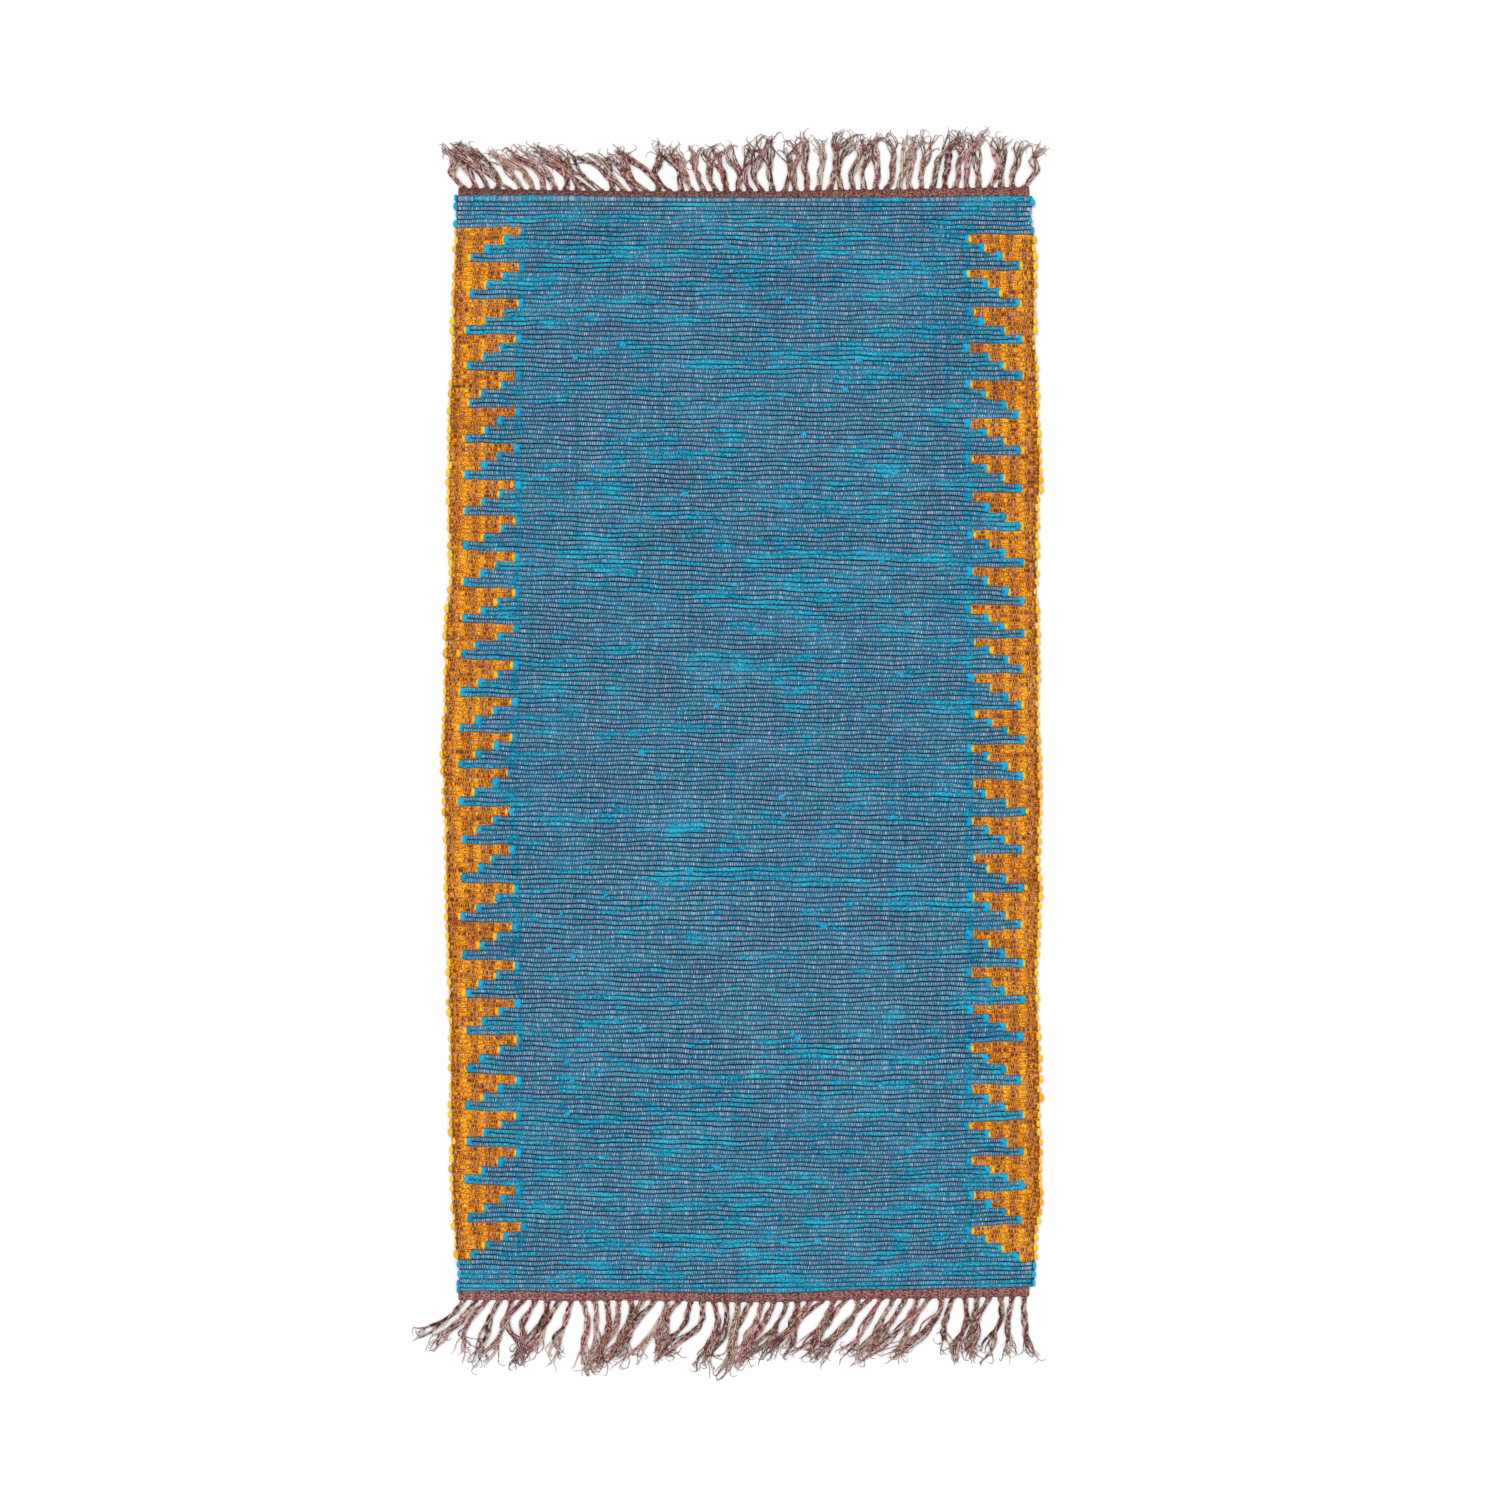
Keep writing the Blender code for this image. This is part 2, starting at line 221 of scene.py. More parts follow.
# How much the strands and yarns of a tassel stray
FAR_TANGLES = table("across amount", (
    (0.00, 1.0), (0.06, 1.5), (0.30, 1.5), (0.50, 1.2), (0.65, 0.7), (0.90, 0.7), (1.00, 1.0),
))
NEAR_TANGLES = table("across amount", (
    (0.00, 0.7), (0.10, 1.2), (0.30, 0.9), (0.60, 1.0), (0.90, 0.9), (1.00, 0.6),
))

# How far a tassel's strands lie from its middle, from its knot to its tips
FAR_SPREAD = table("share width", (
    (0.00, 0.0036), (0.08, 0.0026), (0.45, 0.0033), (0.80, 0.0046), (1.00, 0.0052),
))
NEAR_SPREAD = table("share width", (
    (0.00, 0.0032), (0.08, 0.0022), (0.40, 0.0030), (0.75, 0.0033), (1.00, 0.0046),
))

# How much farther out the field's last row and the knots lie than in the CAD, and the heading's darkness
FAR_EDGES = table("across field knots shade", (
    (0.03, 0.0034, 0.0034, 0.95), (0.12, 0.0036, 0.0012, 0.95), (0.19, 0.0038, 0.0002, 0.90),
    (0.31, 0.0016, -0.0010, 0.65), (0.44, 0.0002, -0.0010, 0.60), (0.57, 0.0000, -0.0012, 0.60),
    (0.66, 0.0000, 0.0010, 0.50), (0.76, 0.0002, 0.0014, 0.42), (0.85, 0.0016, 0.0030, 0.42),
    (0.95, 0.0022, 0.0044, 0.42),
))
NEAR_EDGES = table("across field knots shade", (
    (0.05, -0.0026, 0.0000, 0.05), (0.13, -0.0026, -0.0002, 0.05), (0.20, -0.0014, 0.0010, 0.15),
    (0.31, -0.0030, 0.0002, 0.18), (0.38, -0.0010, 0.0014, 0.20), (0.48, 0.0016, 0.0036, 0.25),
    (0.57, 0.0018, 0.0038, 0.28), (0.64, 0.0000, 0.0028, 0.25), (0.70, -0.0020, 0.0014, 0.20),
    (0.77, -0.0008, 0.0014, 0.20), (0.83, -0.0014, 0.0020, 0.20), (0.95, -0.0014, 0.0016, 0.20),
))

# Both ends: side is 1 at +Y, and twist is in radians
End = namedtuple("End", "name side tassels lies tangles gathering twist spread edges")
ENDS = (
    End("far", 1, 50, FAR_LIES, FAR_TANGLES, 0.50, 5.5, FAR_SPREAD, FAR_EDGES),
    End("near", -1, 48, NEAR_LIES, NEAR_TANGLES, 0.40, 10.0, NEAR_SPREAD, NEAR_EDGES),
)

# Share of the weave where loose weft covers the warp, along the rug
BARENESS = table("along share", (
    (0.00, 0.20), (0.03, 0.30), (0.12, 0.22), (0.20, 0.10), (0.28, 0.22), (0.36, 0.16), (0.43, 0.18),
    (0.50, 0.07), (0.62, 0.12), (0.70, 0.06), (0.80, 0.14), (0.88, 0.26), (0.97, 0.26), (1.00, 0.60),
))

# Large streaks of loose weft and tufts that stand out, as read from the photograph
STREAKS = table("rib ribs left right", (
    (63, 2, 0.205, 0.315), (69, 2, 0.335, 0.445), (74, 2, 0.260, 0.360), (69, 2, 0.680, 0.775),
    (77, 2, 0.645, 0.865), (90, 2, 0.585, 0.645), (89, 1, 0.480, 0.525), (100, 2, 0.405, 0.525),
    (102, 2, 0.475, 0.595), (147, 3, 0.395, 0.590), (149, 2, 0.595, 0.715), (154, 2, 0.730, 0.895),
))
TUFTS = table("rib across length", (
    (5.0, 0.090, 0.010), (14.0, 0.192, 0.012), (90.5, 0.610, 0.018), (69.5, 0.350, 0.012),
    (63.5, 0.230, 0.016), (52.0, 0.765, 0.014), (77.5, 0.700, 0.014), (148.0, 0.410, 0.012),
))

# Shapes of arrays with one value for each tassel, strand or yarn
Each = namedtuple("Each", "tassel strand yarn")


# Reading tables, and the map of the weave

def join(*values):
    """Numbers side by side along a new last axis, each first spread to the same shape."""
    return np.stack(np.broadcast_arrays(*values), axis=-1)


def read_table(rows, place, column):
    """A column's values at places in a table's first column, eased from row to row as in the CAD."""
    knots = np.array([row[0] for row in rows])
    values = np.array([getattr(row, column) for row in rows], dtype=float)
    place = np.clip(place, knots[0], knots[-1])
    i = np.clip(np.searchsorted(knots, place, side="right") - 1, 0, len(knots) - 2)
    share = (place - knots[i]) / (knots[i + 1] - knots[i])
    eased = share * share * (3 - 2 * share)
    return values[i] + (values[i + 1] - values[i]) * eased


def across_rug(x):
    """From 0 at the rug's left side to 1 at its right side."""
    return (x + HALF_WIDTH) / (2 * HALF_WIDTH)


def from_end(rows):
    """Ribs from the nearer end of the field."""
    return np.minimum(rows, RIB_COUNT - rows)


def row_y(rows, x):
    """Y of weaving rows at x, as in the CAD. Row 0 is the far end of the field."""
    along = rows / RIB_COUNT
    across = x / HALF_WIDTH
    even = FIELD_LENGTH / 2 - rows * RIB_PITCH
    lean = read_table(ROW_LINES, along, "lean") * across / 2
    sag = read_table(ROW_LINES, along, "sag") * (1 - across * across)
    return even + read_table(ROW_LINES, along, "drift") - lean - sag


def ripple(x, rows):
    """Small waves of the rows, which fade out at both ends of the field."""
    waves = sum(
        wave.height * np.sin(2 * np.pi * (x / wave.length + rows / wave.ribs) + wave.phase)
        for wave in WAVES
    )
    return waves * np.clip(from_end(rows) / RIPPLE_FADE_RIBS, 0, 1)


def weave_y(rows, x):
    """Y of weaving rows at x with their ripple, and with the first and last rib as wide as at each place."""
    far = read_table(FAR_EDGES, across_rug(x), "field") * np.clip(1 - rows, 0, 1)
    near = read_table(NEAR_EDGES, across_rug(x), "field") * np.clip(rows - RIB_COUNT + 1, 0, 1)
    return row_y(rows, x) + ripple(x, rows) + far - near


def weave_xy(ends, rows):
    """World x and y of places in the weave, counted in warp ends and in ribs."""
    along = rows / RIB_COUNT
    left = WARP_INSET - read_table(WARP_EDGES, along, "left")
    right = read_table(WARP_EDGES, along, "right") - WARP_INSET
    x = left + (right - left) * ends / END_COUNT
    return x, weave_y(rows, x)


def edge_xy(side, rows, inset):
    """World x and y of places just inside a selvedge: side 0 is the left one, side 1 the right one."""
    along = rows / RIB_COUNT
    left = inset - read_table(SELVEDGES, along, "left")
    right = read_table(SELVEDGES, along, "right") - inset
    x = np.where(side == 0, left, right)
    return x, weave_y(rows, x)


def rib_number(rows):
    """Number of the rib at places along the weave, from 0 at the far end."""
    return np.clip(np.floor(rows).astype(int), 0, RIB_COUNT - 1)


def rib_swell(rows):
    """From 0 in a valley to 1 on a rib's crest."""
    return np.abs(np.sin(np.pi * rows)) ** 0.7


def weave_z(ends, rows, loft, bare):
    """Height of the cloth's face. loft is each rib's own fullness, loose weft puffs up, and each rib has
    lumps about every 31 and every 13 ends."""
    of_rib = loft[rib_number(rows)]
    large_lumps = 0.10 * np.sin(2 * np.pi * (ends / 31.0 + of_rib * 9))
    small_lumps = 0.08 * np.sin(2 * np.pi * ends / 12.7)
    rise = (CREST_HEIGHT - VALLEY_HEIGHT) * of_rib * (1 + large_lumps + small_lumps)
    return VALLEY_HEIGHT + rib_swell(rows) * (rise + LOOSE_LOFT * bare)


def border_steps():
    """Each step of the borders: its side, 0 left or 1 right, its place in its tooth and its first rib."""
    for side, first in enumerate(FIRST_TOOTH_RIBS):
        for step in range(TOOTH_COUNT * STEPS_PER_TOOTH):
            yield side, step % STEPS_PER_TOOTH, first + step * RIBS_PER_STEP


def border_reaches(random):
    """For each side and rib, how many ends the gold weft reaches in from the selvedge."""
    reaches = np.zeros((2, RIB_COUNT))
    for side, step, rib in border_steps():
        steps_left = STEPS_PER_TOOTH - step
        reach = steps_left * ENDS_PER_STEP - BLUE_TURN_ENDS + random.normal(0, 1.0)
        reaches[side, rib:rib + RIBS_PER_STEP] = reach
    return reaches


def gold_map(reaches):
    """For each rib and end, whether its weft is gold."""
    ends = np.arange(END_COUNT) + 0.5
    left = ends[None, :] < reaches[0][:, None]
    right = END_COUNT - ends[None, :] < reaches[1][:, None]
    return left | right


def bare_map(random, reaches):
    """For each rib and end, from 0 where the warp shows to 1 where loose weft covers it."""
    bare = np.zeros((RIB_COUNT, END_COUNT))
    for rib in range(RIB_COUNT):
        share = read_table(BARENESS, rib / RIB_COUNT, "share")
        for _ in range(random.poisson(share * STREAKS_PER_RIB)):
            start = random.uniform(-20, END_COUNT)
            length = LEAST_STREAK_ENDS + random.gamma(1.1, 13)
            add_streak(bare, random, rib, start, length)
            if random.uniform() < SPILL_SHARE:
                beside = start + random.normal(0, 6)
                add_streak(bare, random, rib + 1, beside, length * random.uniform(0.4, 0.9))
    for streak in STREAKS:
        for rib in range(streak.rib, streak.rib + streak.ribs):
            add_streak(bare, random, rib, END_COUNT * streak.left, END_COUNT * (streak.right - streak.left))
    bare[gold_map(reaches)] *= 0.2
    add_joins(bare, random, reaches)
    return bare


def add_streak(bare, random, rib, start, length):
    """Loose weft along part of one rib, ragged at its ends and thin in places."""
    if rib < RIB_COUNT:
        ends = np.arange(END_COUNT)
        taper = np.clip(np.minimum(ends - start, start + length - ends) / 3, 0, 1)
        ragged = random.uniform(0.15, 1.15, END_COUNT) * random.uniform(0.7, 1.0)
        bare[rib] = np.maximum(bare[rib], np.clip(taper * ragged, 0, 1))


def add_joins(bare, random, reaches):
    """Short columns of loose weft above and below each turn of the border, a little off one another."""
    for side in (0, 1):
        for rib in np.where(reaches[side] > 0)[0]:
            for line in range(1, STEPS_PER_TOOTH + 1):
                start = int(line * ENDS_PER_STEP - BLUE_TURN_ENDS + random.choice((-2, -1, -1, 0)))
                if start < reaches[side, rib]:
                    share = JOIN_IN_GOLD
                elif line == STEPS_PER_TOOTH:
                    share = JOIN_BESIDE_POINTS
                else:
                    share = JOIN_IN_BLUE
                if random.uniform() < share:
                    ends = start + np.arange(3 if line in (1, STEPS_PER_TOOTH) else 2)
                    bare[rib, ends if side == 0 else END_COUNT - 1 - ends] = 1


# Meshes

def new_object(name, data):
    made = bpy.data.objects.new(name, data)
    bpy.context.scene.collection.objects.link(made)
    return made


def build_piece(name, points, face_groups, material):
    """A piece from its points and arrays of faces, each array with its own number of corners."""
    corners = np.concatenate([np.ravel(group) for group in face_groups]).astype(np.int32)
    sizes = np.concatenate([np.full(len(group), np.shape(group)[1]) for group in face_groups])
    starts = np.concatenate([[0], np.cumsum(sizes)[:-1]]).astype(np.int32)
    mesh = bpy.data.meshes.new(name)
    mesh.vertices.add(len(points))
    mesh.vertices.foreach_set("co", np.ravel(points).astype(np.float32))
    mesh.loops.add(len(corners))
    mesh.loops.foreach_set("vertex_index", corners)
    mesh.polygons.add(len(sizes))
    mesh.polygons.foreach_set("loop_start", starts)
    mesh.update(calc_edges=True)
    mesh.shade_smooth()
    mesh.materials.append(material)
    piece = new_object(name, mesh)
    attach(piece, "root")
    return piece


def add_vectors(piece, name, domain, values):
    """Stores three numbers for each point, corner or face, for the material to read."""
    attribute = piece.data.attributes.new(name, "FLOAT_VECTOR", domain)
    attribute.data.foreach_set("vector", np.ravel(values).astype(np.float32))


def add_uv(piece, corner_places):
    layer = piece.data.uv_layers.new(name="OFBake")
    layer.data.foreach_set("uv", np.ravel(corner_places).astype(np.float32))


def quads(grid):
    """Faces between neighbouring rows and columns of a grid of point numbers."""
    corners = (grid[:-1, :-1], grid[1:, :-1], grid[1:, 1:], grid[:-1, 1:])
    return np.stack(corners, axis=-1).reshape(-1, 4)


def strip_faces(stations, columns):
    """Faces of a closed strip: face, left wall, right wall, underside and both ends."""
    top = np.arange(stations * columns).reshape(stations, columns)
    under = stations * columns + np.arange(stations * 2).reshape(stations, 2)
    ring = np.column_stack([under[:, :1], top, under[:, 1:]])
    return [
        quads(top),
        quads(ring[:, :2]),
        quads(ring[:, -2:]),
        quads(under[:, ::-1]),
        ring[:1],
        ring[-1:, ::-1],
    ]


def strip_uv(plan, faces, top_count):
    """Bake map of a closed strip. plan has each point's place from 0 to 1 on the cloth. The face fills the
    left half of the map and the underside the right half, and walls lie just outside the face."""
    face_side = plan * (0.47, 0.94) + (0.02, 0.03)
    under_side = plan * (0.47, 0.94) + (0.51, 0.03)
    beside = face_side.copy()
    beside[top_count:] += (plan[top_count:] - 0.5) * 0.016
    maps = (face_side, beside, beside, under_side, beside, beside)
    return np.concatenate([places[np.ravel(group)] for places, group in zip(maps, faces)])


def tubes(name, paths, radii, sides, ids, material, flat=1.0):
    """Many closed tubes in one piece. paths is tube x station x 3 and radii tube x station."""
    count, stations = radii.shape
    way = np.gradient(paths, axis=1)
    way /= np.linalg.norm(way, axis=2, keepdims=True) + 1e-12
    across = np.cross(np.array([0.0, 0.0, 1.0]), way)
    across /= np.linalg.norm(across, axis=2, keepdims=True) + 1e-12
    upward = np.cross(way, across)
    turn = 2 * np.pi * (np.arange(sides) + 0.25) / sides
    ring = across[:, :, None] * np.cos(turn)[:, None] + flat * upward[:, :, None] * np.sin(turn)[:, None]
    points = (paths[:, :, None] + ring * radii[:, :, None, None]).reshape(-1, 3)
    number = np.arange(count * stations * sides).reshape(count, stations, sides)
    after = np.roll(number, -1, axis=2)
    walls = np.stack([number[:, :-1], after[:, :-1], after[:, 1:], number[:, 1:]], axis=-1).reshape(-1, 4)
    piece = build_piece(name, points, [walls, number[:, 0, ::-1], number[:, -1]], material)
    add_vectors(piece, "yarn", "CORNER", tube_corners(paths, ids, sides))
    add_uv(piece, tube_uv(count, stations, sides))
    return piece


def wall_corners(stations, sides):
    """For each face of a tube's wall, the station and the side of its four corners."""
    station, side = np.mgrid[0:stations - 1, 0:sides]
    return station[..., None] + (0, 0, 1, 1), side[..., None] + (0, 1, 1, 0)


def tube_corners(paths, ids, sides):
    """For each corner of the tubes: the tube's number from 0 to 1, metres along it and turns round it."""
    count, stations = paths.shape[:2]
    steps = np.linalg.norm(np.diff(paths, axis=1), axis=2)
    along = np.concatenate([np.zeros((count, 1)), np.cumsum(steps, axis=1)], axis=1)
    station, side = wall_corners(stations, sides)
    walls = join(ids[:, None, None, None], along[:, station], side / sides)
    caps = join(ids[:, None], along[:, (0, -1)].T[:, :, None], np.zeros(sides))
    return np.concatenate([walls.reshape(-1, 3), caps.reshape(-1, 3)])


def tube_uv(count, stations, sides):
    """Bake map of tubes: a square cell for each, with its wall below and its two ends above."""
    cells = math.ceil(math.sqrt(count))
    tube = np.arange(count)
    cell = join(tube % cells, tube // cells)
    station, side = wall_corners(stations, sides)
    walls = join(0.06 + 0.88 * side / sides, 0.06 + 0.76 * station / (stations - 1))
    turn = 2 * np.pi * np.arange(sides) / sides
    round_end = join(np.cos(turn), np.sin(turn)) * 0.04
    caps = np.stack([(0.3, 0.91) + round_end[::-1], (0.7, 0.91) + round_end])
    walls = walls + cell[:, None, None, None]
    caps = caps[:, None] + cell[:, None]
    return np.concatenate([walls.reshape(-1, 2), caps.reshape(-1, 2)]) / cells


# Materials

def srgb(red, green, blue):
    """A colour as measured on a screen, from 0 to 255, in the linear values that nodes take."""
    shares = [value / 255 for value in (red, green, blue)]
    linear = [c / 12.92 if c <= 0.04045 else ((c + 0.055) / 1.055) ** 2.4 for c in shares]
    return (*linear, 1.0)


YARN_COLOURS = (
    srgb(108, 56, 48), srgb(192, 102, 100), srgb(142, 124, 80), srgb(234, 166, 168),
    srgb(104, 58, 52), srgb(238, 208, 180), srgb(160, 56, 84), srgb(196, 148, 116),
)


class Recipe:
    """A material's nodes, with a short call for each kind of node that the cloth needs."""

    def __init__(self, name, roughness):
        self.material = bpy.data.materials.new(name)
        self.material.use_nodes = True
        self.tree = self.material.node_tree
        self.shader = self.tree.nodes["Principled BSDF"]
        self.shader.inputs["Roughness"].default_value = roughness
        self.shader.inputs["Specular IOR Level"].default_value = 0.25

    def node(self, kind, inputs, **settings):
        made = self.tree.nodes.new(kind)
        for name, value in settings.items():
            setattr(made, name, value)
        for key, value in inputs.items():
            if isinstance(value, bpy.types.NodeSocket):
                self.tree.links.new(value, made.inputs[key])
            else:
                made.inputs[key].default_value = value
        return made

    def read(self, name):
        """The three numbers that a piece stores under a name."""
        vector = self.node("ShaderNodeAttribute", {}, attribute_name=name).outputs["Vector"]
        return self.node("ShaderNodeSeparateXYZ", {0: vector}).outputs

    def place(self):
        """Each point's own x, y and z."""
        point = self.node("ShaderNodeTexCoord", {}).outputs["Object"]
        return self.node("ShaderNodeSeparateXYZ", {0: point}).outputs

    def maths(self, operation, *values):
        return self.node("ShaderNodeMath", dict(enumerate(values)), operation=operation).outputs[0]

    def plus(self, first, *others):
        for other in others:
            first = self.maths("ADD", first, other)
        return first

    def minus(self, first, second):
        return self.maths("SUBTRACT", first, second)

    def times(self, first, second):
        return self.maths("MULTIPLY", first, second)

    def off_middle(self, value):
        """From 0 halfway between two whole numbers to 0.5 at a whole number."""
        return self.maths("ABSOLUTE", self.minus(self.maths("FRACT", value), 0.5))

    def ease(self, value, low, high, to_low=0.0, to_high=1.0):
        """Value eased from to_low to to_high as it goes from low to high."""
        inputs = {"Value": value, "From Min": low, "From Max": high, "To Min": to_low, "To Max": to_high}
        return self.node("ShaderNodeMapRange", inputs, interpolation_type="SMOOTHSTEP").outputs[0]

    def painted_side_shade(self, around, top, low, high, most):
        """Painted shade on a tube: from 0 along its top to most down its sides. around and top are shares of
        a turn round it.
        """
        from_top = self.maths("COSINE", self.times(self.minus(around, top), 2 * math.pi))
        return self.ease(from_top, low, high, most, 0.0)

    def noise(self, places, scales, detail=2.0, shift=0.0):
        """Noise at two or three places, each times its scale. shift tells one noise from another."""
        scaled = [self.times(place, scale) for place, scale in zip(places, scales)]
        place = self.node("ShaderNodeCombineXYZ", {2: shift, **dict(enumerate(scaled))}).outputs[0]
        inputs = {"Vector": place, "Scale": 1.0, "Detail": detail, "Roughness": 0.6}
        return self.node("ShaderNodeTexNoise", inputs).outputs[0]

    def mix(self, share, first, second):
        return self.node("ShaderNodeMix", {0: share, 6: first, 7: second}, data_type="RGBA").outputs[2]

    def ramp(self, share, colours, interpolation="LINEAR"):
        made = self.node("ShaderNodeValToRGB", {0: share})
        made.color_ramp.interpolation = interpolation
        stops = made.color_ramp.elements
        while len(stops) < len(colours):
            stops.new(1.0)
        span = len(colours) if interpolation == "CONSTANT" else len(colours) - 1
        for i, colour in enumerate(colours):
            stops[i].position = i / span
            stops[i].color = colour
        return made.outputs[0]

    def finish(self, colour, height, depth):
        """Links the colour, and a bump of that depth in metres from a height from 0 to 1."""
        self.tree.links.new(colour, self.shader.inputs["Base Color"])
        bump = self.node("ShaderNodeBump", {"Height": height, "Distance": depth, "Strength": 1.0})
        self.tree.links.new(bump.outputs[0], self.shader.inputs["Normal"])
        return self.material


def weft_material():
    """Rag weft of the field: blue, or gold in the borders, with painted shade in the valleys between ribs.
    """
    recipe = Recipe("weft", 0.9)
    end, row, bare = recipe.read("weave")
    is_gold = gold_weft(recipe, end)
    fibres = recipe.noise((end, row), (0.55, 3.2), 4.0)
    tone = weft_tone(recipe, end, row, bare, fibres, is_gold)
    blue = recipe.ramp(tone, (srgb(6, 64, 96), srgb(8, 100, 138), srgb(16, 140, 172), srgb(40, 188, 214)))
    gold = recipe.ramp(tone, (srgb(150, 72, 8), srgb(208, 118, 14), srgb(242, 160, 22), srgb(255, 210, 62)))
    face = recipe.mix(is_gold, blue, gold)
    # Painted shade in the valleys between ribs: its colour over blue and over gold weft, and how much of it,
    # fainter over gold
    shade = recipe.mix(is_gold, srgb(8, 30, 48), srgb(104, 42, 18))
    darkness = recipe.times(painted_valley_shade(recipe, end, row), recipe.minus(1.0, recipe.times(is_gold, 0.62)))
    return recipe.finish(recipe.mix(darkness, face, shade), fibres, 0.0006)


def gold_weft(recipe, end):
    """1 where the gold weft of a border reaches, else 0."""
    left_reach, right_reach, _ = recipe.read("reaches")
    is_left = recipe.maths("LESS_THAN", end, left_reach)
    is_right = recipe.maths("GREATER_THAN", end, recipe.minus(float(END_COUNT), right_reach))
    return recipe.maths("MAXIMUM", is_left, is_right)


def weft_tone(recipe, end, row, bare, fibres, is_gold):
    """How light the weft is: by its fibres, each rib's own rag, broad zones and where it lies loose."""
    rib = recipe.maths("FLOOR", row)
    of_rib = recipe.minus(recipe.noise((end, rib), (0.05, 3.7), 3.0, 4.0), 0.5)
    of_rib = recipe.times(of_rib, recipe.minus(0.9, recipe.times(is_gold, 0.55)))
    of_zone = recipe.times(recipe.noise((end, row), (0.012, 0.09), shift=9.0), 0.6)
    of_fibres = recipe.times(recipe.minus(fibres, 0.5), 3.2)
    return recipe.plus(of_fibres, of_rib, of_zone, recipe.times(bare, 0.46), 0.05)


def painted_valley_shade(recipe, end, row):
    """Painted shade: from 0 on a rib to 1 in the valley beside it, fainter in places and at the field's
    ends.
    """
    valley = recipe.ease(recipe.off_middle(row), 0.23, 0.46)
    patches = recipe.noise((end, recipe.maths("ROUND", row)), (0.014, 7.3))
    valley = recipe.times(valley, recipe.ease(patches, 0.36, 0.60, 0.35, 1.0))
    to_end = recipe.maths("MINIMUM", row, recipe.minus(float(RIB_COUNT), row))
    return recipe.times(valley, recipe.ease(to_end, 0.0, 0.5, 0.3, 1.0))


def float_material():
    """Warp yarn over the ribs: mixed yarns, greyed by the blue or warmed by the gold that they cross."""
    recipe = Recipe("warp_floats", 0.85)
    yarn, is_gold, shade = recipe.read("float")
    own = recipe.ramp(yarn, YARN_COLOURS, "CONSTANT")
    tint = recipe.mix(is_gold, srgb(84, 160, 196), srgb(104, 40, 6))
    colour = recipe.mix(recipe.minus(0.66, recipe.times(is_gold, 0.09)), own, tint)
    dark = recipe.mix(is_gold, srgb(26, 48, 66), srgb(64, 22, 14))
    darkness = recipe.ease(shade, 0.1, 0.9, 0.0, 0.56)
    darkness = recipe.times(darkness, recipe.plus(1.0, recipe.times(is_gold, 0.70)))
    colour = recipe.mix(darkness, colour, dark)
    twist = recipe.noise(recipe.place(), (2600.0, 900.0))
    pale = recipe.mix(is_gold, srgb(228, 228, 236), srgb(214, 140, 84))
    paleness = recipe.times(twist, recipe.minus(0.20, recipe.times(is_gold, 0.06)))
    return recipe.finish(recipe.mix(paleness, colour, pale), twist, 0.0002)


def turn_material(name, dark, light, crease_shade):
    """Soft round turns of rag weft, with painted shade in their creases and round their feet."""
    recipe = Recipe(name, 0.9)
    number, _, around = recipe.read("yarn")
    fuzz = recipe.noise(recipe.place(), (1100.0, 1100.0, 1100.0), 4.0)
    tone = recipe.plus(recipe.times(fuzz, 1.3), recipe.times(number, 0.5), -0.42)
    colour = recipe.ramp(tone, (dark, light, light))
    # Painted shade down the turn's sides and round its feet
    colour = recipe.mix(recipe.painted_side_shade(around, 0.22, 0.10, 0.70, 0.75), colour, crease_shade)
    return recipe.finish(colour, fuzz, 0.0008)


def yarn_material():
    """Loose plied warp yarn: each yarn has its own colour, and its ply shows as slanting stripes.
    Painted highlights lie in pale patches, and painted shade in the ply's grooves and down each yarn's
    sides.
    """
    recipe = Recipe("fringe_yarn", 0.85)
    number, along, around = recipe.read("yarn")
    own = recipe.ramp(number, YARN_COLOURS, "CONSTANT")
    ply = recipe.plus(recipe.times(along, 150.0), around)
    stripe = recipe.plus(recipe.times(recipe.maths("SINE", recipe.times(ply, 4 * math.pi)), 0.5), 0.5)
    patches = recipe.noise((along, number), (170.0, 900.0))
    # Pale patches along the yarns are painted highlights; the dark patches are darker tone
    colour = recipe.mix(recipe.ease(patches, 0.48, 0.64, 0.0, 0.70), own, srgb(244, 218, 208))
    colour = recipe.mix(recipe.ease(patches, 0.50, 0.36, 0.0, 0.75), colour, srgb(64, 30, 28))
    # Painted shade in the grooves of the ply
    crease_shade = recipe.times(recipe.minus(1.0, stripe), 0.45)
    colour = recipe.mix(crease_shade, colour, srgb(72, 40, 38))
    # Painted shade down each yarn's sides
    colour = recipe.mix(recipe.painted_side_shade(around, 0.19, 0.15, 0.8, 0.62), colour, srgb(58, 30, 30))
    return recipe.finish(colour, stripe, 0.0003)


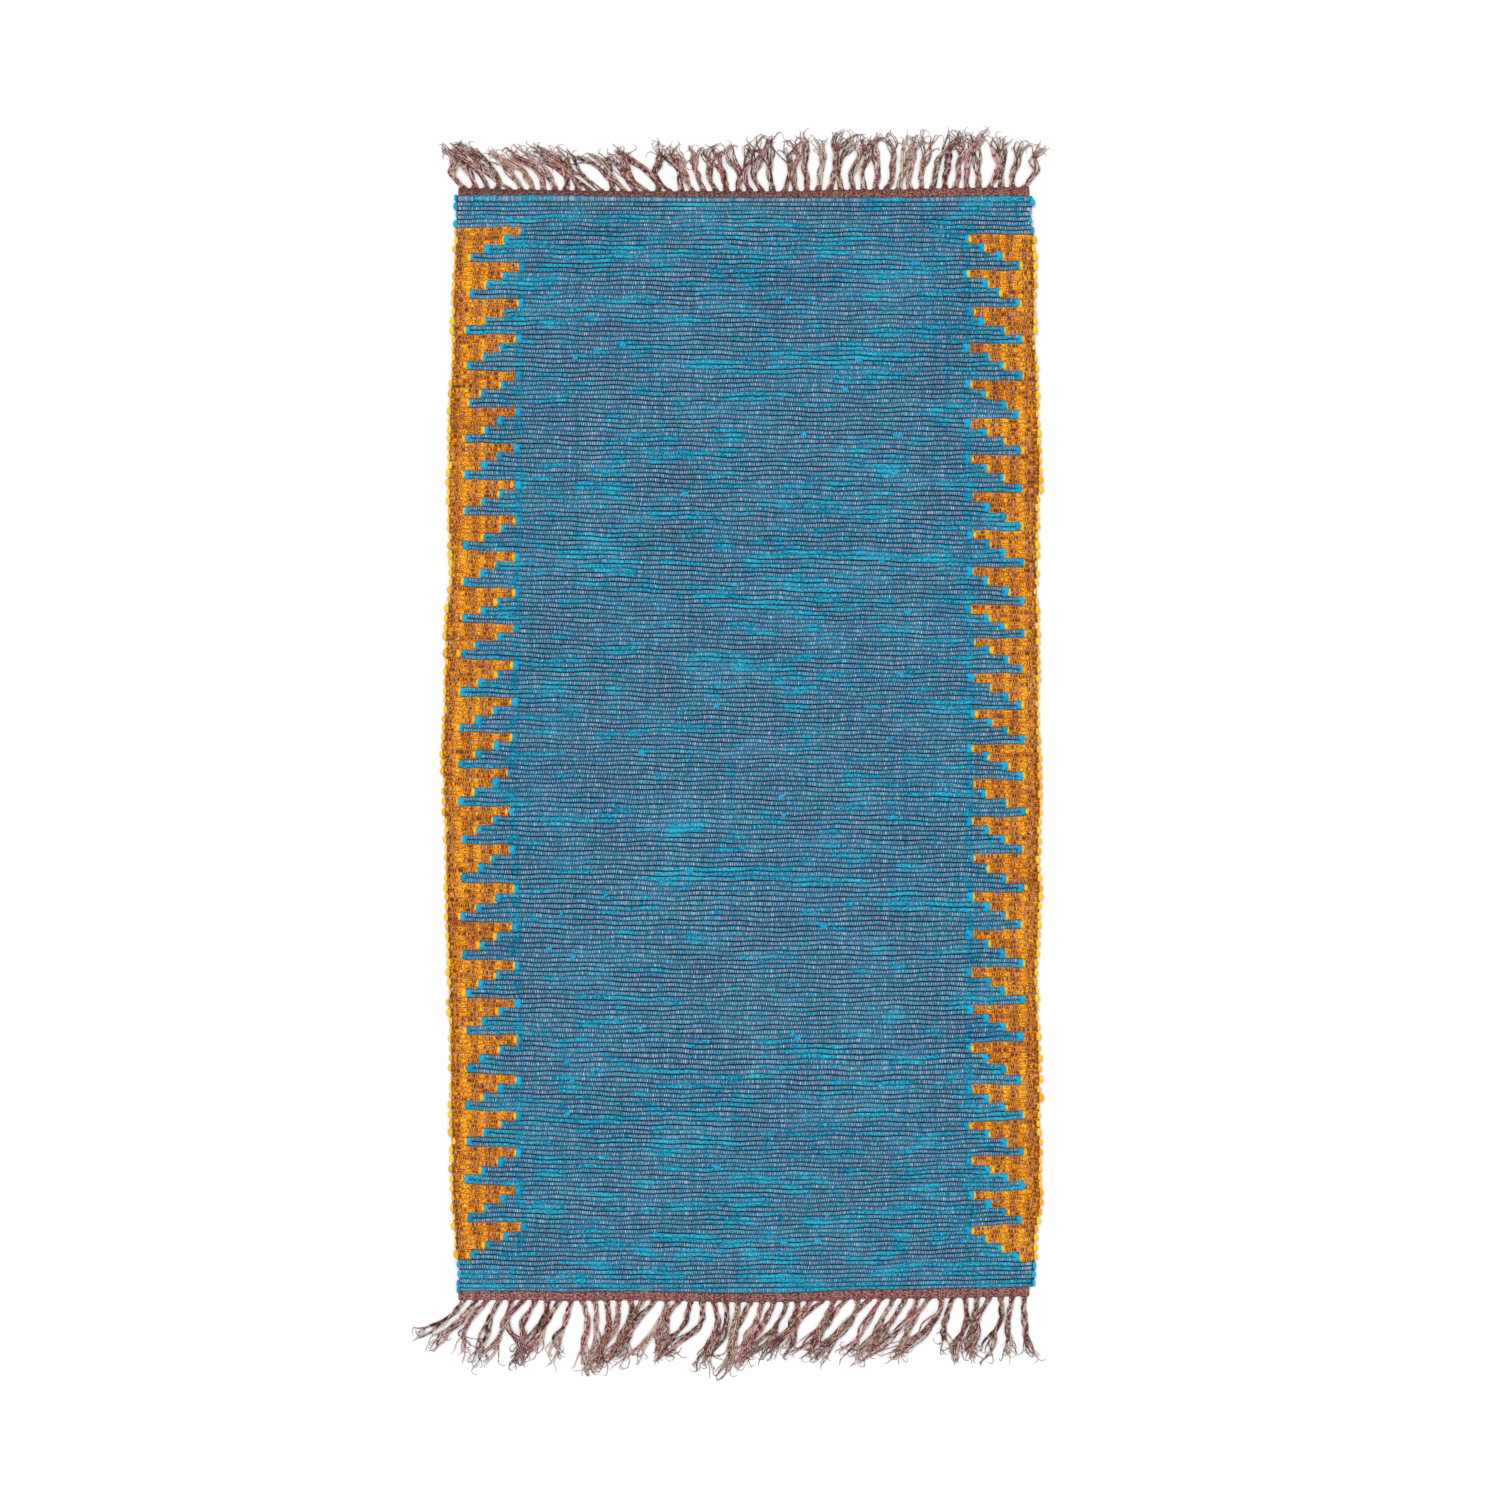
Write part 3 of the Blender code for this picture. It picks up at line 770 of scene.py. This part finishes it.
def heading_material():
    """Warp-faced heading: fine stripes of mixed warp yarns crossed by thin weft lines, with painted shade in
    the grooves of both.
    """
    recipe = Recipe("heading", 0.9)
    end, pick, shade = recipe.read("heading")
    stripe = recipe.node("ShaderNodeTexWhiteNoise", {"W": recipe.maths("FLOOR", end)}, noise_dimensions="1D")
    own = recipe.ramp(stripe.outputs["Value"], YARN_COLOURS, "CONSTANT")
    mottled = recipe.noise((end, pick), (0.45, 0.8), 4.0)
    maroons = (srgb(78, 30, 34), srgb(156, 88, 86), srgb(232, 170, 162))
    colour = recipe.mix(0.80, own, recipe.ramp(recipe.ease(mottled, 0.38, 0.62), maroons))
    crease_shades = [recipe.ease(recipe.off_middle(value), 0.3, 0.5) for value in (pick, end)]
    crease_shade = recipe.maths("MAXIMUM", *crease_shades)
    # Painted shade in the grooves between picks and between ends
    colour = recipe.mix(recipe.times(crease_shade, 0.5), colour, srgb(52, 26, 28))
    colour = recipe.mix(recipe.times(shade, 0.6), colour, srgb(48, 26, 26))
    return recipe.finish(colour, recipe.minus(1.0, crease_shade), 0.0005)


def floor_material():
    recipe = Recipe("floor", 0.8)
    grain = recipe.noise(recipe.place(), (40.0, 40.0))
    colour = recipe.ramp(grain, ((0.93, 0.93, 0.93, 1.0), (0.95, 0.95, 0.95, 1.0)))
    return recipe.finish(colour, grain, 0.0001)


# Field

def add_field(loft, bare, reaches):
    """The weft of the whole field as one closed ribbed sheet."""
    edge = np.array(EDGE_COLUMNS)
    inner = np.linspace(INNER_COLUMN, END_COUNT - INNER_COLUMN, INNER_COLUMN_COUNT)
    ends = np.concatenate([edge, inner, END_COUNT - edge[::-1]])
    rows = np.arange(STATIONS_PER_RIB * RIB_COUNT + 1) / STATIONS_PER_RIB
    end_grid, row_grid = np.meshgrid(ends, rows)
    loose = loose_share(bare, end_grid, row_grid)
    top = field_face(end_grid, row_grid, loft, loose)
    points = np.concatenate([top, field_underside(rows)])
    faces = strip_faces(len(rows), len(ends))
    piece = build_piece("weft_field", points, faces, weft_material())
    weave = np.concatenate([
        join(end_grid, row_grid, loose).reshape(-1, 3),
        join(np.array([1.0, END_COUNT - 1.0]), rows[:, None], 0.0).reshape(-1, 3),
    ])
    add_vectors(piece, "weave", "POINT", weave)
    add_vectors(piece, "reaches", "FACE", face_reaches(reaches, rows, len(ends)))
    plan = weave[:, :2] / (END_COUNT, RIB_COUNT)
    add_uv(piece, strip_uv(plan, faces, len(top)))
    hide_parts("woven_field")
    return piece


def loose_share(bare, ends, rows):
    """How much loose weft covers the warp at places in the weave, smoothed along each rib."""
    kernel = np.ones(LOOSE_BLUR_ENDS) / LOOSE_BLUR_ENDS
    smooth = np.stack([np.convolve(rib, kernel, "same") for rib in bare])
    return smooth[rib_number(rows), np.clip(ends.astype(int), 0, END_COUNT - 1)]


def field_face(ends, rows, loft, loose):
    """Points of the field's face, which is rounded down to both selvedges."""
    x, y = weave_xy(ends, rows)
    for column, side in ((0, 0), (-1, 1)):
        x[:, column], y[:, column] = edge_xy(side, rows[:, 0], EDGE_INSET)
    z = weave_z(ends, rows, loft, loose)
    for column, share in enumerate(EDGE_ROUNDNESS):
        z[:, [column, -1 - column]] *= share
    return join(x, y, z).reshape(-1, 3)


def field_underside(rows):
    """Points of the underside's left and right sides, a little in from the face, with shallow valleys."""
    inward = np.maximum(0, UNDER_END_INSET - UNDER_END_SLOPE * from_end(rows))
    inner_rows = rows + np.where(rows < RIB_COUNT / 2, inward, -inward)
    x, y = edge_xy(np.array([[0, 1]]), inner_rows[:, None], UNDER_INSET)
    z = UNDER_VALLEY * (1 - rib_swell(rows))[:, None]
    return join(x, y, z).reshape(-1, 3)


def face_reaches(reaches, rows, columns):
    """For each face of the field, how far in the gold weft of its rib reaches from either side."""
    rib = np.floor(rows[:-1]).astype(int)
    ribs = np.concatenate([np.repeat(rib, columns - 1), rib, rib, rib, [0], [RIB_COUNT - 1]])
    return join(*reaches[:, ribs], 0.0)


def add_floats(name, first_rib, last_rib, loft, bare, reaches, random, material):
    """Warp yarns on top of the ribs, each a small pillow from valley to valley."""
    gold = gold_map(reaches)
    ribs, ends = shown_floats(first_rib, last_rib, bare, gold, random)
    count = len(ribs)
    loose = bare[ribs, ends]
    middle = ends + 0.5 + random.normal(0, 0.14, count)
    half = FLOAT_HALF_WIDTH * random.uniform(0.75, 1.2, count) * (1 - 0.45 * loose)
    half = half * np.where(gold[ribs, ends], GOLD_FLOAT_WIDTH, 1.0)
    rise = FLOAT_RISE * random.uniform(0.6, 1.3, count) * (1 - 0.5 * loose)
    start, stop = random.uniform(0.11, 0.20, count), random.uniform(0.80, 0.89, count)

    def place(row_share, width_share, lift):
        x, y = weave_xy(middle, ribs + row_share)
        z = weave_z(middle, ribs + row_share, loft, loose)
        return join(x + width_share * half, y, z + lift)

    rim = ((start, -0.6, 1), (0.5, -1, -1), (stop, -0.6, 1), (stop, 0.6, 1), (0.5, 1, -1), (start, 0.6, 1))
    around = [place(row_share, width_share, side * FLOAT_SINK) for row_share, width_share, side in rim]
    points = np.stack([*around, place(0.5, 0.0, rise)], axis=1).reshape(-1, 3)
    corners = np.array([[i, (i + 1) % 6, 6] for i in range(6)])
    faces = (7 * np.arange(count)[:, None, None] + corners).reshape(-1, 3)
    piece = build_piece(name, points, [faces], material)
    keeps_colour = random.uniform(0, 1, count) < 0.5
    of_end = random.uniform(0, 1, END_COUNT)[ends]
    own = np.where(keeps_colour, of_end, random.uniform(0, 1, count))
    look = join(own, gold[ribs, ends], random.uniform(0, 1, count))
    add_vectors(piece, "float", "FACE", np.repeat(look, 6, axis=0))
    low, high = points.min(axis=0)[:2], points.max(axis=0)[:2]
    add_uv(piece, ((points[:, :2] - low) / (high - low) * 0.98 + 0.01)[faces.ravel()])
    return piece


def shown_floats(first_rib, last_rib, bare, gold, random):
    """Ribs and ends where a warp yarn shows: every second end, and more where the yarns lie crowded."""
    rib_grid, end_grid = np.mgrid[first_rib:last_rib, 0:END_COUNT]
    from_edge = np.minimum(end_grid, END_COUNT - 1 - end_grid)
    near_edge = np.exp(-from_edge / EDGE_ENDS)
    in_gold = gold[first_rib:last_rib]
    crowding = np.where(in_gold, CROWDED_IN_GOLD * (1 - near_edge), CROWDED_AT_EDGE * near_edge)
    crowding[rib_grid == 0] = CROWDED_AT_EDGE
    crowded = random.uniform(0, 1, rib_grid.shape) < crowding
    on_top = ((rib_grid + end_grid) % 2 == 0) | crowded
    shows = bare[first_rib:last_rib] < random.uniform(0.35, 0.95, rib_grid.shape)
    shows &= ~in_gold | (random.uniform(0, 1, rib_grid.shape) > HIDDEN_IN_GOLD * (1 + near_edge))
    return rib_grid[on_top & shows], end_grid[on_top & shows]


# Weft turns

def add_turns(name, middle, opens, turn, size, random, material):
    """C-shaped turns of the weft across two ribs. opens is 1 for turns open to the right, -1 to the left."""
    x, y = middle
    count = len(x)
    stations = len(TURN_SWELL)
    x = x + random.normal(0, turn.spread, count)
    scale = random.uniform(0.66, 1.20, (count, 1)) * size[:, None]
    bend = np.linspace(-TURN_BEND, TURN_BEND, stations)
    across = -np.cos(bend) * turn.radius * 0.4 * scale * opens[:, None]
    half_height = RIB_PITCH * turn.height_share * random.uniform(0.85, 1.15, (count, 1))
    foot = CREST_HEIGHT + turn.lift - turn.radius * TURN_FLATNESS + random.normal(0, 0.0004, (count, 1))
    z = foot + TURN_ARCH * (1 + np.cos(bend / 1.5))
    paths = join(x[:, None] + across, y[:, None] + np.sin(bend) * half_height, z)
    radii = turn.radius * scale * np.array(TURN_SWELL) * random.uniform(0.88, 1.12, (count, stations))
    radii = np.minimum(radii, 0.96 * z / TURN_FLATNESS)
    return tubes(name, paths, radii, 8, random.uniform(0, 1, count), material, TURN_FLATNESS)


def add_step_turns(reaches, random, blue, gold):
    """Where the two colours meet at each step, a large blue turn and a smaller gold one that opens away."""
    ends, rows, opens = [], [], []
    for side, _, rib in border_steps():
        ends.append(reaches[0, rib] if side == 0 else END_COUNT - reaches[1, rib])
        rows.append(rib + 1.0)
        opens.append(1 if side == 0 else -1)
    ends, rows, opens = np.array(ends), np.array(rows), np.array(opens)
    is_longest = np.arange(len(ends)) % STEPS_PER_TOOTH == 0
    size = np.where(is_longest, LONGEST_STEP_SIZE, STEP_SIZE)
    gold_size = random.uniform(0.65, 1.15, len(ends))
    blue_middle = weave_xy(ends + opens * BLUE_TURN_ENDS, rows)
    gold_middle = weave_xy(ends + opens * GOLD_TURN_ENDS, rows)
    return [
        add_turns("blue_step_turns", blue_middle, opens, BLUE_TURN, size, random, blue),
        add_turns("gold_step_turns", gold_middle, -opens, GOLD_TURN, gold_size, random, gold),
    ]


def add_selvedge_turns(reaches, random, materials):
    """The weft turns round the outer warp every two ribs, gold beside the teeth and blue at the ends."""
    pieces = []
    for colour, material in materials.items():
        sides, rows = [], []
        for side, first in enumerate(FIRST_TOOTH_RIBS):
            for row in range((first + 1) % RIBS_PER_STEP, RIB_COUNT + 1, RIBS_PER_STEP):
                is_gold = row < RIB_COUNT and reaches[side, row] > 0
                if is_gold == (colour == "gold"):
                    sides.append(side)
                    rows.append(min(max(row, 0.4), RIB_COUNT - 0.4))
        sides = np.array(sides)
        middle = edge_xy(sides, np.array(rows), SELVEDGE_TURN.radius * 1.25)
        opens = np.where(sides == 0, 1, -1)
        size = random.uniform(0.72, 1.24, len(sides))
        name = f"{colour}_selvedge_turns"
        pieces.append(add_turns(name, middle, opens, SELVEDGE_TURN, size, random, material))
    return pieces


def add_tufts(random, material):
    """Short puffs of loose weft along the ribs: those that stand out, and small ones anywhere."""
    rows = random.uniform(3, RIB_COUNT - 3, RANDOM_TUFTS).round()
    across = random.uniform(0.16, 0.84, RANDOM_TUFTS)
    length = random.uniform(0.004, 0.010, RANDOM_TUFTS)
    rows, across, length = np.hstack([np.transpose(TUFTS), [rows, across, length]])
    x, y = weave_xy(across * END_COUNT, rows)
    shape = (len(x), len(TUFT_SWELL))
    share = np.linspace(-0.5, 0.5, len(TUFT_SWELL))
    wander = random.normal(0, 0.0009, shape)
    z = CREST_HEIGHT - TUFT_DEPTH + random.normal(0, 0.0003, shape)
    paths = join(x[:, None] + length[:, None] * share, y[:, None] + wander, z)
    radii = TUFT_RADIUS * np.array(TUFT_SWELL) * random.uniform(0.75, 1.25, shape)
    ids = random.uniform(0, 1, len(x))
    return tubes("weft_tufts", paths, radii, 8, ids, material, TURN_FLATNESS)


# Ends of the rug

def knot_places(end):
    """X of the knots, from left to right."""
    step = 2 * OUTER_KNOT / (end.tassels - 1)
    return -OUTER_KNOT + np.arange(end.tassels) * step


def outward_point(end, x, outward, z):
    """World places at x and a distance outward from the field's end."""
    row = np.full(np.shape(x), 0.0 if end.side > 0 else float(RIB_COUNT))
    return join(x, row_y(row, x) + end.side * outward, z)


def add_heading(end, material):
    """The heading, with its outer edge drawn out to each knot."""
    x = np.linspace(-HEADING_HALF_WIDTH, HEADING_HALF_WIDTH, HEADING_STATIONS)[::end.side, None]
    across = across_rug(x)
    nearest_knot = np.abs(x - knot_places(end)).min(axis=1, keepdims=True)
    tent = np.clip(1 - nearest_knot / (KNOT_FLARE / 2), 0, 1)
    inner = read_table(end.edges, across, "field") - HEADING_OVERLAP
    outer = HEADING_WIDTH + read_table(end.edges, across, "knots") + tent * KNOT_TIP - HEADING_MARGIN
    shares = np.array(HEADING_SHARES)
    outward = inner + (outer - inner) * shares
    z = HEADING_HEIGHT * np.array(HEADING_SWELL) + KNOT_RISE * tent * shares ** 2
    points = outward_point(end, x, outward, z)
    points = with_underside(points, points * (1, 1, 0) + (0, 0, FLOOR_CLEARANCE))
    faces = strip_faces(len(x), len(shares))
    piece = build_piece(f"heading_{end.name}", points, faces, material)
    shade = read_table(end.edges, across, "shade") * (0.4 + shares)
    darkness = np.clip(tent * shares ** 3 + shade, 0, 1)
    look = join(x / WARP_PITCH, outward / PICK_PITCH, darkness)
    add_vectors(piece, "heading", "POINT", with_underside(look, look))
    plan = join(shares, (x - x.min()) / np.ptp(x))
    add_uv(piece, strip_uv(with_underside(plan, plan), faces, outward.size))
    return piece


def with_underside(face, under):
    """Values of a strip's face, station by station, and then those of both sides of its underside."""
    depth = face.shape[-1]
    return np.concatenate([face.reshape(-1, depth), under[:, (0, -1)].reshape(-1, depth)])


def add_fringe(end, random, material):
    """Tassels of loose yarns: each gathers at its knot, leaves it straight, then leans, splits and frays."""
    knots = knot_places(end)
    each = Each(
        tassel=(end.tassels, 1, 1, 1),
        strand=(end.tassels, STRANDS_PER_TASSEL, 1, 1),
        yarn=(end.tassels, STRANDS_PER_TASSEL, YARNS_PER_STRAND, 1),
    )

    def of_tassel(rows, column):
        return read_table(rows, across_rug(knots), column).reshape(each.tassel)

    tangle = of_tassel(end.tangles, "amount") * random.uniform(0.6, 1.4, each.tassel)
    gather = gathers(random, knots).reshape(each.tassel) * end.gathering
    gather = gather * random.uniform(0.7, 1.3, each.tassel)
    lean = np.radians(of_tassel(end.lies, "lean")) + random.normal(0, 0.055, each.tassel) * tangle
    reach = of_tassel(end.lies, "reach") * random.uniform(0.92, 1.06, each.tassel)
    length = reach * random.uniform(0.84, 1.03, each.strand) * random.uniform(0.86, 1.05, each.yarn)
    share = np.linspace(0, 1, YARN_STATIONS) ** 0.94  # a little closer together towards the tips
    sway = np.tan(lean) * reach * share ** random.uniform(0.9, 1.5, each.tassel) + gather * share ** 1.5
    bend = strand_bends(each, share, tangle, random)
    aside, z = yarn_offsets(end, each, share, tangle, random)
    tip_aside, tip_short = tip_curls(each, share, tangle, length, random)
    x = knots.reshape(each.tassel) + sway + bend + aside + tip_aside
    outward = HEADING_WIDTH + KNOT_ROOT + of_tassel(end.edges, "knots") + share * length - tip_short
    paths = outward_point(end, x, outward, z).reshape(-1, YARN_STATIONS, 3)
    taper = np.interp(np.linspace(0, 1, YARN_STATIONS), (0, 0.80, 1.0), (1.08, 0.92, 0.45))
    radii = YARN_RADIUS * random.uniform(0.75, 1.15, (len(paths), 1)) * taper
    own = random.uniform(0, 1, each.yarn)
    keeps_colour = random.uniform(0, 1, each.yarn) < 0.75
    ids = np.where(keeps_colour, random.uniform(0, 1, each.strand), own).ravel()
    piece = tubes(f"fringe_{end.name}_yarns", paths, radii, 4, ids, material)
    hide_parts(f"fringe_{end.name}")
    return [piece, add_frays(end, paths, ids, random, material)]


def gathers(random, knots):
    """How far each tassel's tips are drawn aside, to the middle of its group of one to three tassels."""
    pull = np.zeros(len(knots))
    first = 0
    while first < len(knots):
        group = slice(first, first + random.choice((1, 1, 2, 2, 3)))
        pull[group] = knots[group].mean() - knots[group]
        first = group.stop
    return pull


def strand_bends(each, share, tangle, random):
    """How far aside the strands lie because their tassel curls and they part from one another."""
    curl = random.normal(0, CURL, each.tassel) * np.sin(1.4 * np.pi * share)
    small_curl = random.normal(0, SMALL_CURL, each.tassel)
    small_curl = small_curl * np.sin(2.9 * np.pi * share + random.uniform(0, 6, each.tassel)) * share
    part = random.normal(0, STRAND_PARTING, each.strand) * np.clip(share - 0.3, 0, 1) ** 1.3 * tangle
    return (curl + small_curl) * (0.5 + 0.5 * tangle) + part


def yarn_offsets(end, each, share, tangle, random):
    """How far aside and how high yarns lie, as strands twist round the tassel and yarns round a strand."""
    strands = np.arange(STRANDS_PER_TASSEL).reshape(1, -1, 1, 1)
    phase = random.uniform(0, 2 * np.pi, each.tassel) + 2.1 * strands
    twist = random.choice((-1, 1), each.tassel) * end.twist * random.uniform(0.7, 1.3, each.tassel)
    strand_turn = phase + twist * share ** 0.85
    yarn_turn = random.uniform(0, 2 * np.pi, each.yarn) + 12 * share
    strand_width = read_table(end.spread, share, "width")
    yarn_width = np.interp(share, (0, 0.08, 0.5, 0.85, 1.0), (0.0013, 0.0009, 0.0010, 0.0013, 0.0022))
    yarn_width = yarn_width * random.uniform(0.5, 1.1, each.yarn)
    stray = np.where(random.uniform(0, 1, each.yarn) < STRAY_SHARE, 3.5, 1.0) * tangle
    wave = random.normal(0, YARN_WAVE, each.yarn)
    wave = wave * np.sin(2 * np.pi * share * random.uniform(0.8, 2.4, each.yarn)) * share
    wisp = random.normal(0, YARN_WISP, each.yarn) * share ** 3
    aside = strand_width * np.cos(strand_turn) + yarn_width * np.cos(yarn_turn) + (wave + wisp) * stray
    rise = np.interp(share, (0, 0.06, 0.7, 1.0), (0.0006, 0.0012, 0.0011, 0.0005))
    z = YARN_RADIUS * 1.05 + rise * (1 + np.sin(strand_turn)) + 0.35 * rise * (1 + np.sin(yarn_turn))
    return aside, z


def tip_curls(each, share, tangle, length, random):
    """How far the yarns' outer thirds swing aside and fall short as they bend round; a few tassels hook."""
    hooked = random.uniform(0, 1, each.tassel) < HOOKED_SHARE
    hooked[:2] = hooked[-2:] = False
    bend = random.normal(0, 0.30, each.tassel)
    hook = random.choice((-1, 1), each.tassel) * random.uniform(0.6, 1.3, each.tassel)
    loose = random.uniform(0, 1, each.yarn) < LOOSE_SHARE
    bend = bend + hooked * hook + random.normal(0, 0.30, each.yarn)
    bend = bend + loose * random.normal(0, 1.3, each.yarn) * tangle
    bend = np.where(np.abs(bend) < LEAST_BEND, LEAST_BEND, bend)
    bent = np.clip((share - TIP_START) / (1 - TIP_START), 0, 1)
    arc = (1 - TIP_START) * length
    return arc * (1 - np.cos(bend * bent)) / bend, arc * (bent - np.sin(bend * bent) / bend)


def add_frays(end, paths, ids, random, material):
    """A fine fibre at the tip of each yarn."""
    tips = paths[:, -1]
    way = tips - paths[:, -3]
    heading = np.arctan2(way[:, 1], way[:, 0]) + random.normal(0, 0.45, len(tips))
    length = random.uniform(0.003, 0.013, (len(tips), 1))
    bend = random.normal(0, 1.5, (len(tips), 1))
    share = np.linspace(0, 1, len(FIBRE_TAPER))
    turned = heading[:, None] + bend * share
    x = tips[:, :1] + np.cos(turned) * length * share
    y = tips[:, 1:2] + np.sin(turned) * length * share
    z = np.maximum(tips[:, 2:] * (1 - 0.5 * share), FIBRE_RADIUS)
    radii = np.tile(FIBRE_RADIUS * np.array(FIBRE_TAPER), (len(tips), 1))
    return tubes(f"fringe_{end.name}_frays", join(x, y, z), radii, 3, ids, material)


# Stage

def add_floor():
    floor = new_object("floor", bpy.data.meshes.new("floor"))
    half = FLOOR_HALF_SIDE
    corners = [(-half, -half, 0), (half, -half, 0), (half, half, 0), (-half, half, 0)]
    floor.data.from_pydata(corners, [], [(0, 1, 2, 3)])
    floor.data.materials.append(floor_material())


def add_lighting():
    """One wide soft light from the upper left, as high as it is far, and an even bright room."""
    light = bpy.data.lights.new("key", "SUN")
    light.angle = 0.35
    light.energy = KEY_STRENGTH
    lamp = new_object("key", light)
    lamp.rotation_euler = (math.radians(-27), math.radians(-22), 0)
    world = bpy.data.worlds.new("studio")
    world.use_nodes = True
    backdrop = world.node_tree.nodes["Background"]
    backdrop.inputs["Color"].default_value = (1.0, 1.0, 1.0, 1.0)
    backdrop.inputs["Strength"].default_value = ROOM_STRENGTH
    bpy.context.scene.world = world
    bpy.context.scene.view_settings.view_transform = "Standard"


def add_camera():
    data = bpy.data.cameras.new("camera")
    data.sensor_width = SENSOR
    data.lens = SENSOR * CAMERA_HEIGHT / FRAME_WIDTH
    data.clip_end = VIEW_DEPTH
    camera = new_object("camera", data)
    camera.location = (*FRAME_CENTRE, CAMERA_HEIGHT)
    bpy.context.scene.camera = camera


def main():
    random = np.random.default_rng(SEED)
    loft = random.uniform(0.80, 1.12, RIB_COUNT)
    reaches = border_reaches(random)
    bare = bare_map(random, reaches)
    field = add_field(loft, bare, reaches)
    floats = float_material()
    half = RIB_COUNT // 2
    pieces = [
        add_floats("warp_floats_far", 0, half, loft, bare, reaches, random, floats),
        add_floats("warp_floats_near", half, RIB_COUNT, loft, bare, reaches, random, floats),
    ]
    # The last colour of each turn material is the painted shade in its creases and round its feet
    blue = turn_material("blue_turn", srgb(6, 98, 136), srgb(10, 174, 220), srgb(10, 58, 88))
    gold = turn_material("gold_turn", srgb(222, 122, 8), srgb(255, 192, 22), srgb(176, 92, 16))
    edge_gold = turn_material("edge_gold_turn", srgb(206, 124, 16), srgb(255, 204, 46), srgb(196, 130, 28))
    pieces += add_step_turns(reaches, random, blue, gold)
    pieces += add_selvedge_turns(reaches, random, {"blue": blue, "gold": edge_gold})
    pieces.append(add_tufts(random, blue))
    heading = heading_material()
    yarn = yarn_material()
    for end in ENDS:
        pieces.append(add_heading(end, heading))
        pieces += add_fringe(end, random, yarn)
    add_floor()
    add_lighting()
    add_camera()


main()
